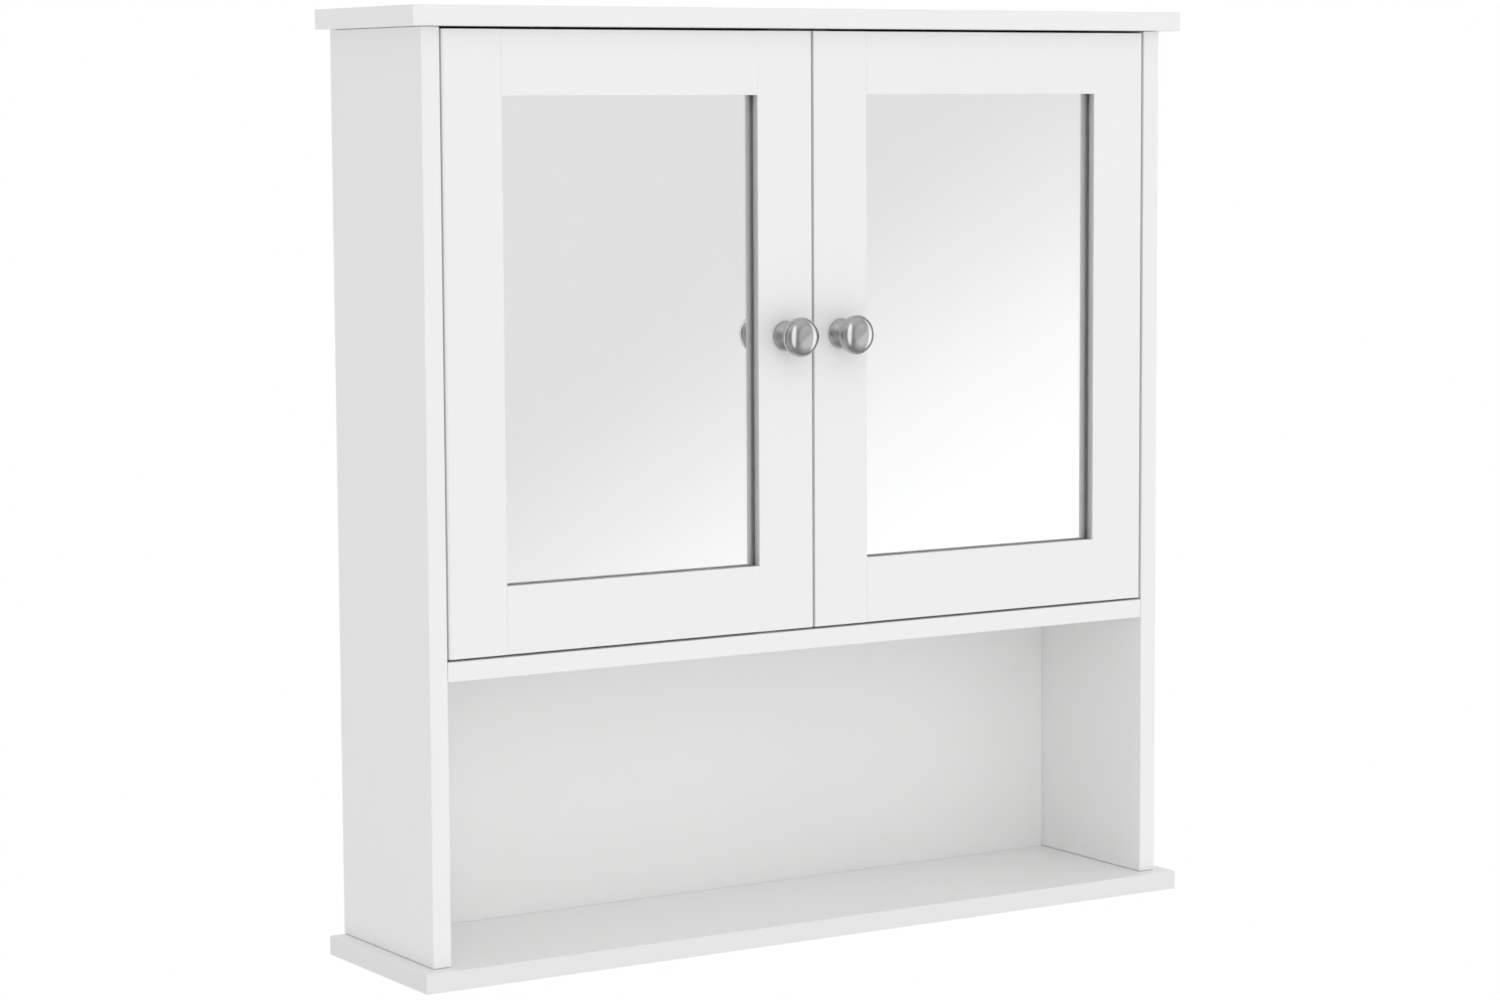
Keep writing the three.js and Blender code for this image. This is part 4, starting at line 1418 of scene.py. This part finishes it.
# ---------------------------------------------------------------- operators
class CABINET_OT_boards(bpy.types.Operator):
    """Make the painted boards and the back panel"""

    bl_idname = "cabinet.boards"
    bl_label = "Boards"

    def execute(self, context):
        for node in ("top_board", "left_side_panel", "right_side_panel", "fixed_shelf"):
            make_board(node)
        make_board("bottom_board", greyer_edges=True)
        make_board("adjustable_shelf", "shelf")
        make_back_panel()
        return {"FINISHED"}


class CABINET_OT_doors(bpy.types.Operator):
    """Make the door frames, mirrors and backing boards"""

    bl_idname = "cabinet.doors"
    bl_label = "Doors"

    def execute(self, context):
        for side in SIDES:
            make_door_frame(side)
            make_mirror(side)
            make_backing_board(side)
        return {"FINISHED"}


class CABINET_OT_knobs(bpy.types.Operator):
    """Make the turned knobs"""

    bl_idname = "cabinet.knobs"
    bl_label = "Knobs"

    def execute(self, context):
        for side in SIDES:
            make_knob(side)
        return {"FINISHED"}


class CABINET_OT_hinges(bpy.types.Operator):
    """Make the concealed hinges and their screws"""

    bl_idname = "cabinet.hinges"
    bl_label = "Hinges"

    def execute(self, context):
        for side in SIDES:
            for level in LEVELS:
                make_pressing(f"{side}_{level}_hinge_mounting_plate")
                make_pressing(f"{side}_{level}_hinge_arm")
                make_hinge_cup(side, level)
                make_hinge_pin(side, level)
        make_hinge_screws()
        return {"FINISHED"}


class CABINET_OT_fittings(bpy.types.Operator):
    """Make the hangers, shelf pins, catch, screws, clips and caps"""

    bl_idname = "cabinet.fittings"
    bl_label = "Fittings"

    def execute(self, context):
        for side in SIDES:
            make_pressing(f"{side}_hanger_plate")
            for place in ("rear", "front"):
                make_shelf_pin(side, place)
        make_catch()
        make_wood_screws()
        make_backing_clips()
        make_cam_caps()
        return {"FINISHED"}


class CABINET_OT_stage(bpy.types.Operator):
    """Set up the camera, the floor and the light"""

    bl_idname = "cabinet.stage"
    bl_label = "Stage"

    def execute(self, context):
        studio = context.scene.cabinet_studio
        context.scene.view_settings.view_transform = "Standard"
        make_camera(studio)
        make_world(studio)
        make_floor(studio)
        make_key_light(studio)
        return {"FINISHED"}


OPERATORS = (
    CABINET_OT_boards,
    CABINET_OT_doors,
    CABINET_OT_knobs,
    CABINET_OT_hinges,
    CABINET_OT_fittings,
    CABINET_OT_stage,
)
SETTINGS = {
    "cabinet_edges": CabinetEdges,
    "cabinet_colours": CabinetColours,
    "cabinet_fittings": CabinetFittings,
    "cabinet_studio": CabinetStudio,
}


class CABINET_PT_panel(bpy.types.Panel):
    """Lists the steps and the settings of the cabinet"""

    bl_idname = "CABINET_PT_panel"
    bl_label = "Wall Cabinet"
    bl_space_type = "VIEW_3D"
    bl_region_type = "UI"
    bl_category = "Cabinet"

    def draw(self, context):
        for operator in OPERATORS:
            self.layout.operator(operator.bl_idname)
        for name in SETTINGS:
            group = getattr(context.scene, name)
            box = self.layout.box()
            for field in group.__annotations__:
                box.prop(group, field)


CLASSES = (*SETTINGS.values(), *OPERATORS, CABINET_PT_panel)


def register():
    for cls in CLASSES:
        bpy.utils.register_class(cls)
    for name, group in SETTINGS.items():
        setattr(bpy.types.Scene, name, PointerProperty(type=group))


def unregister():
    for name in SETTINGS:
        delattr(bpy.types.Scene, name)
    for cls in reversed(CLASSES):
        bpy.utils.unregister_class(cls)


def main():
    register()
    bpy.ops.cabinet.boards()
    bpy.ops.cabinet.doors()
    bpy.ops.cabinet.knobs()
    bpy.ops.cabinet.hinges()
    bpy.ops.cabinet.fittings()
    bpy.ops.cabinet.stage()


if __name__ == "__main__":
    main()
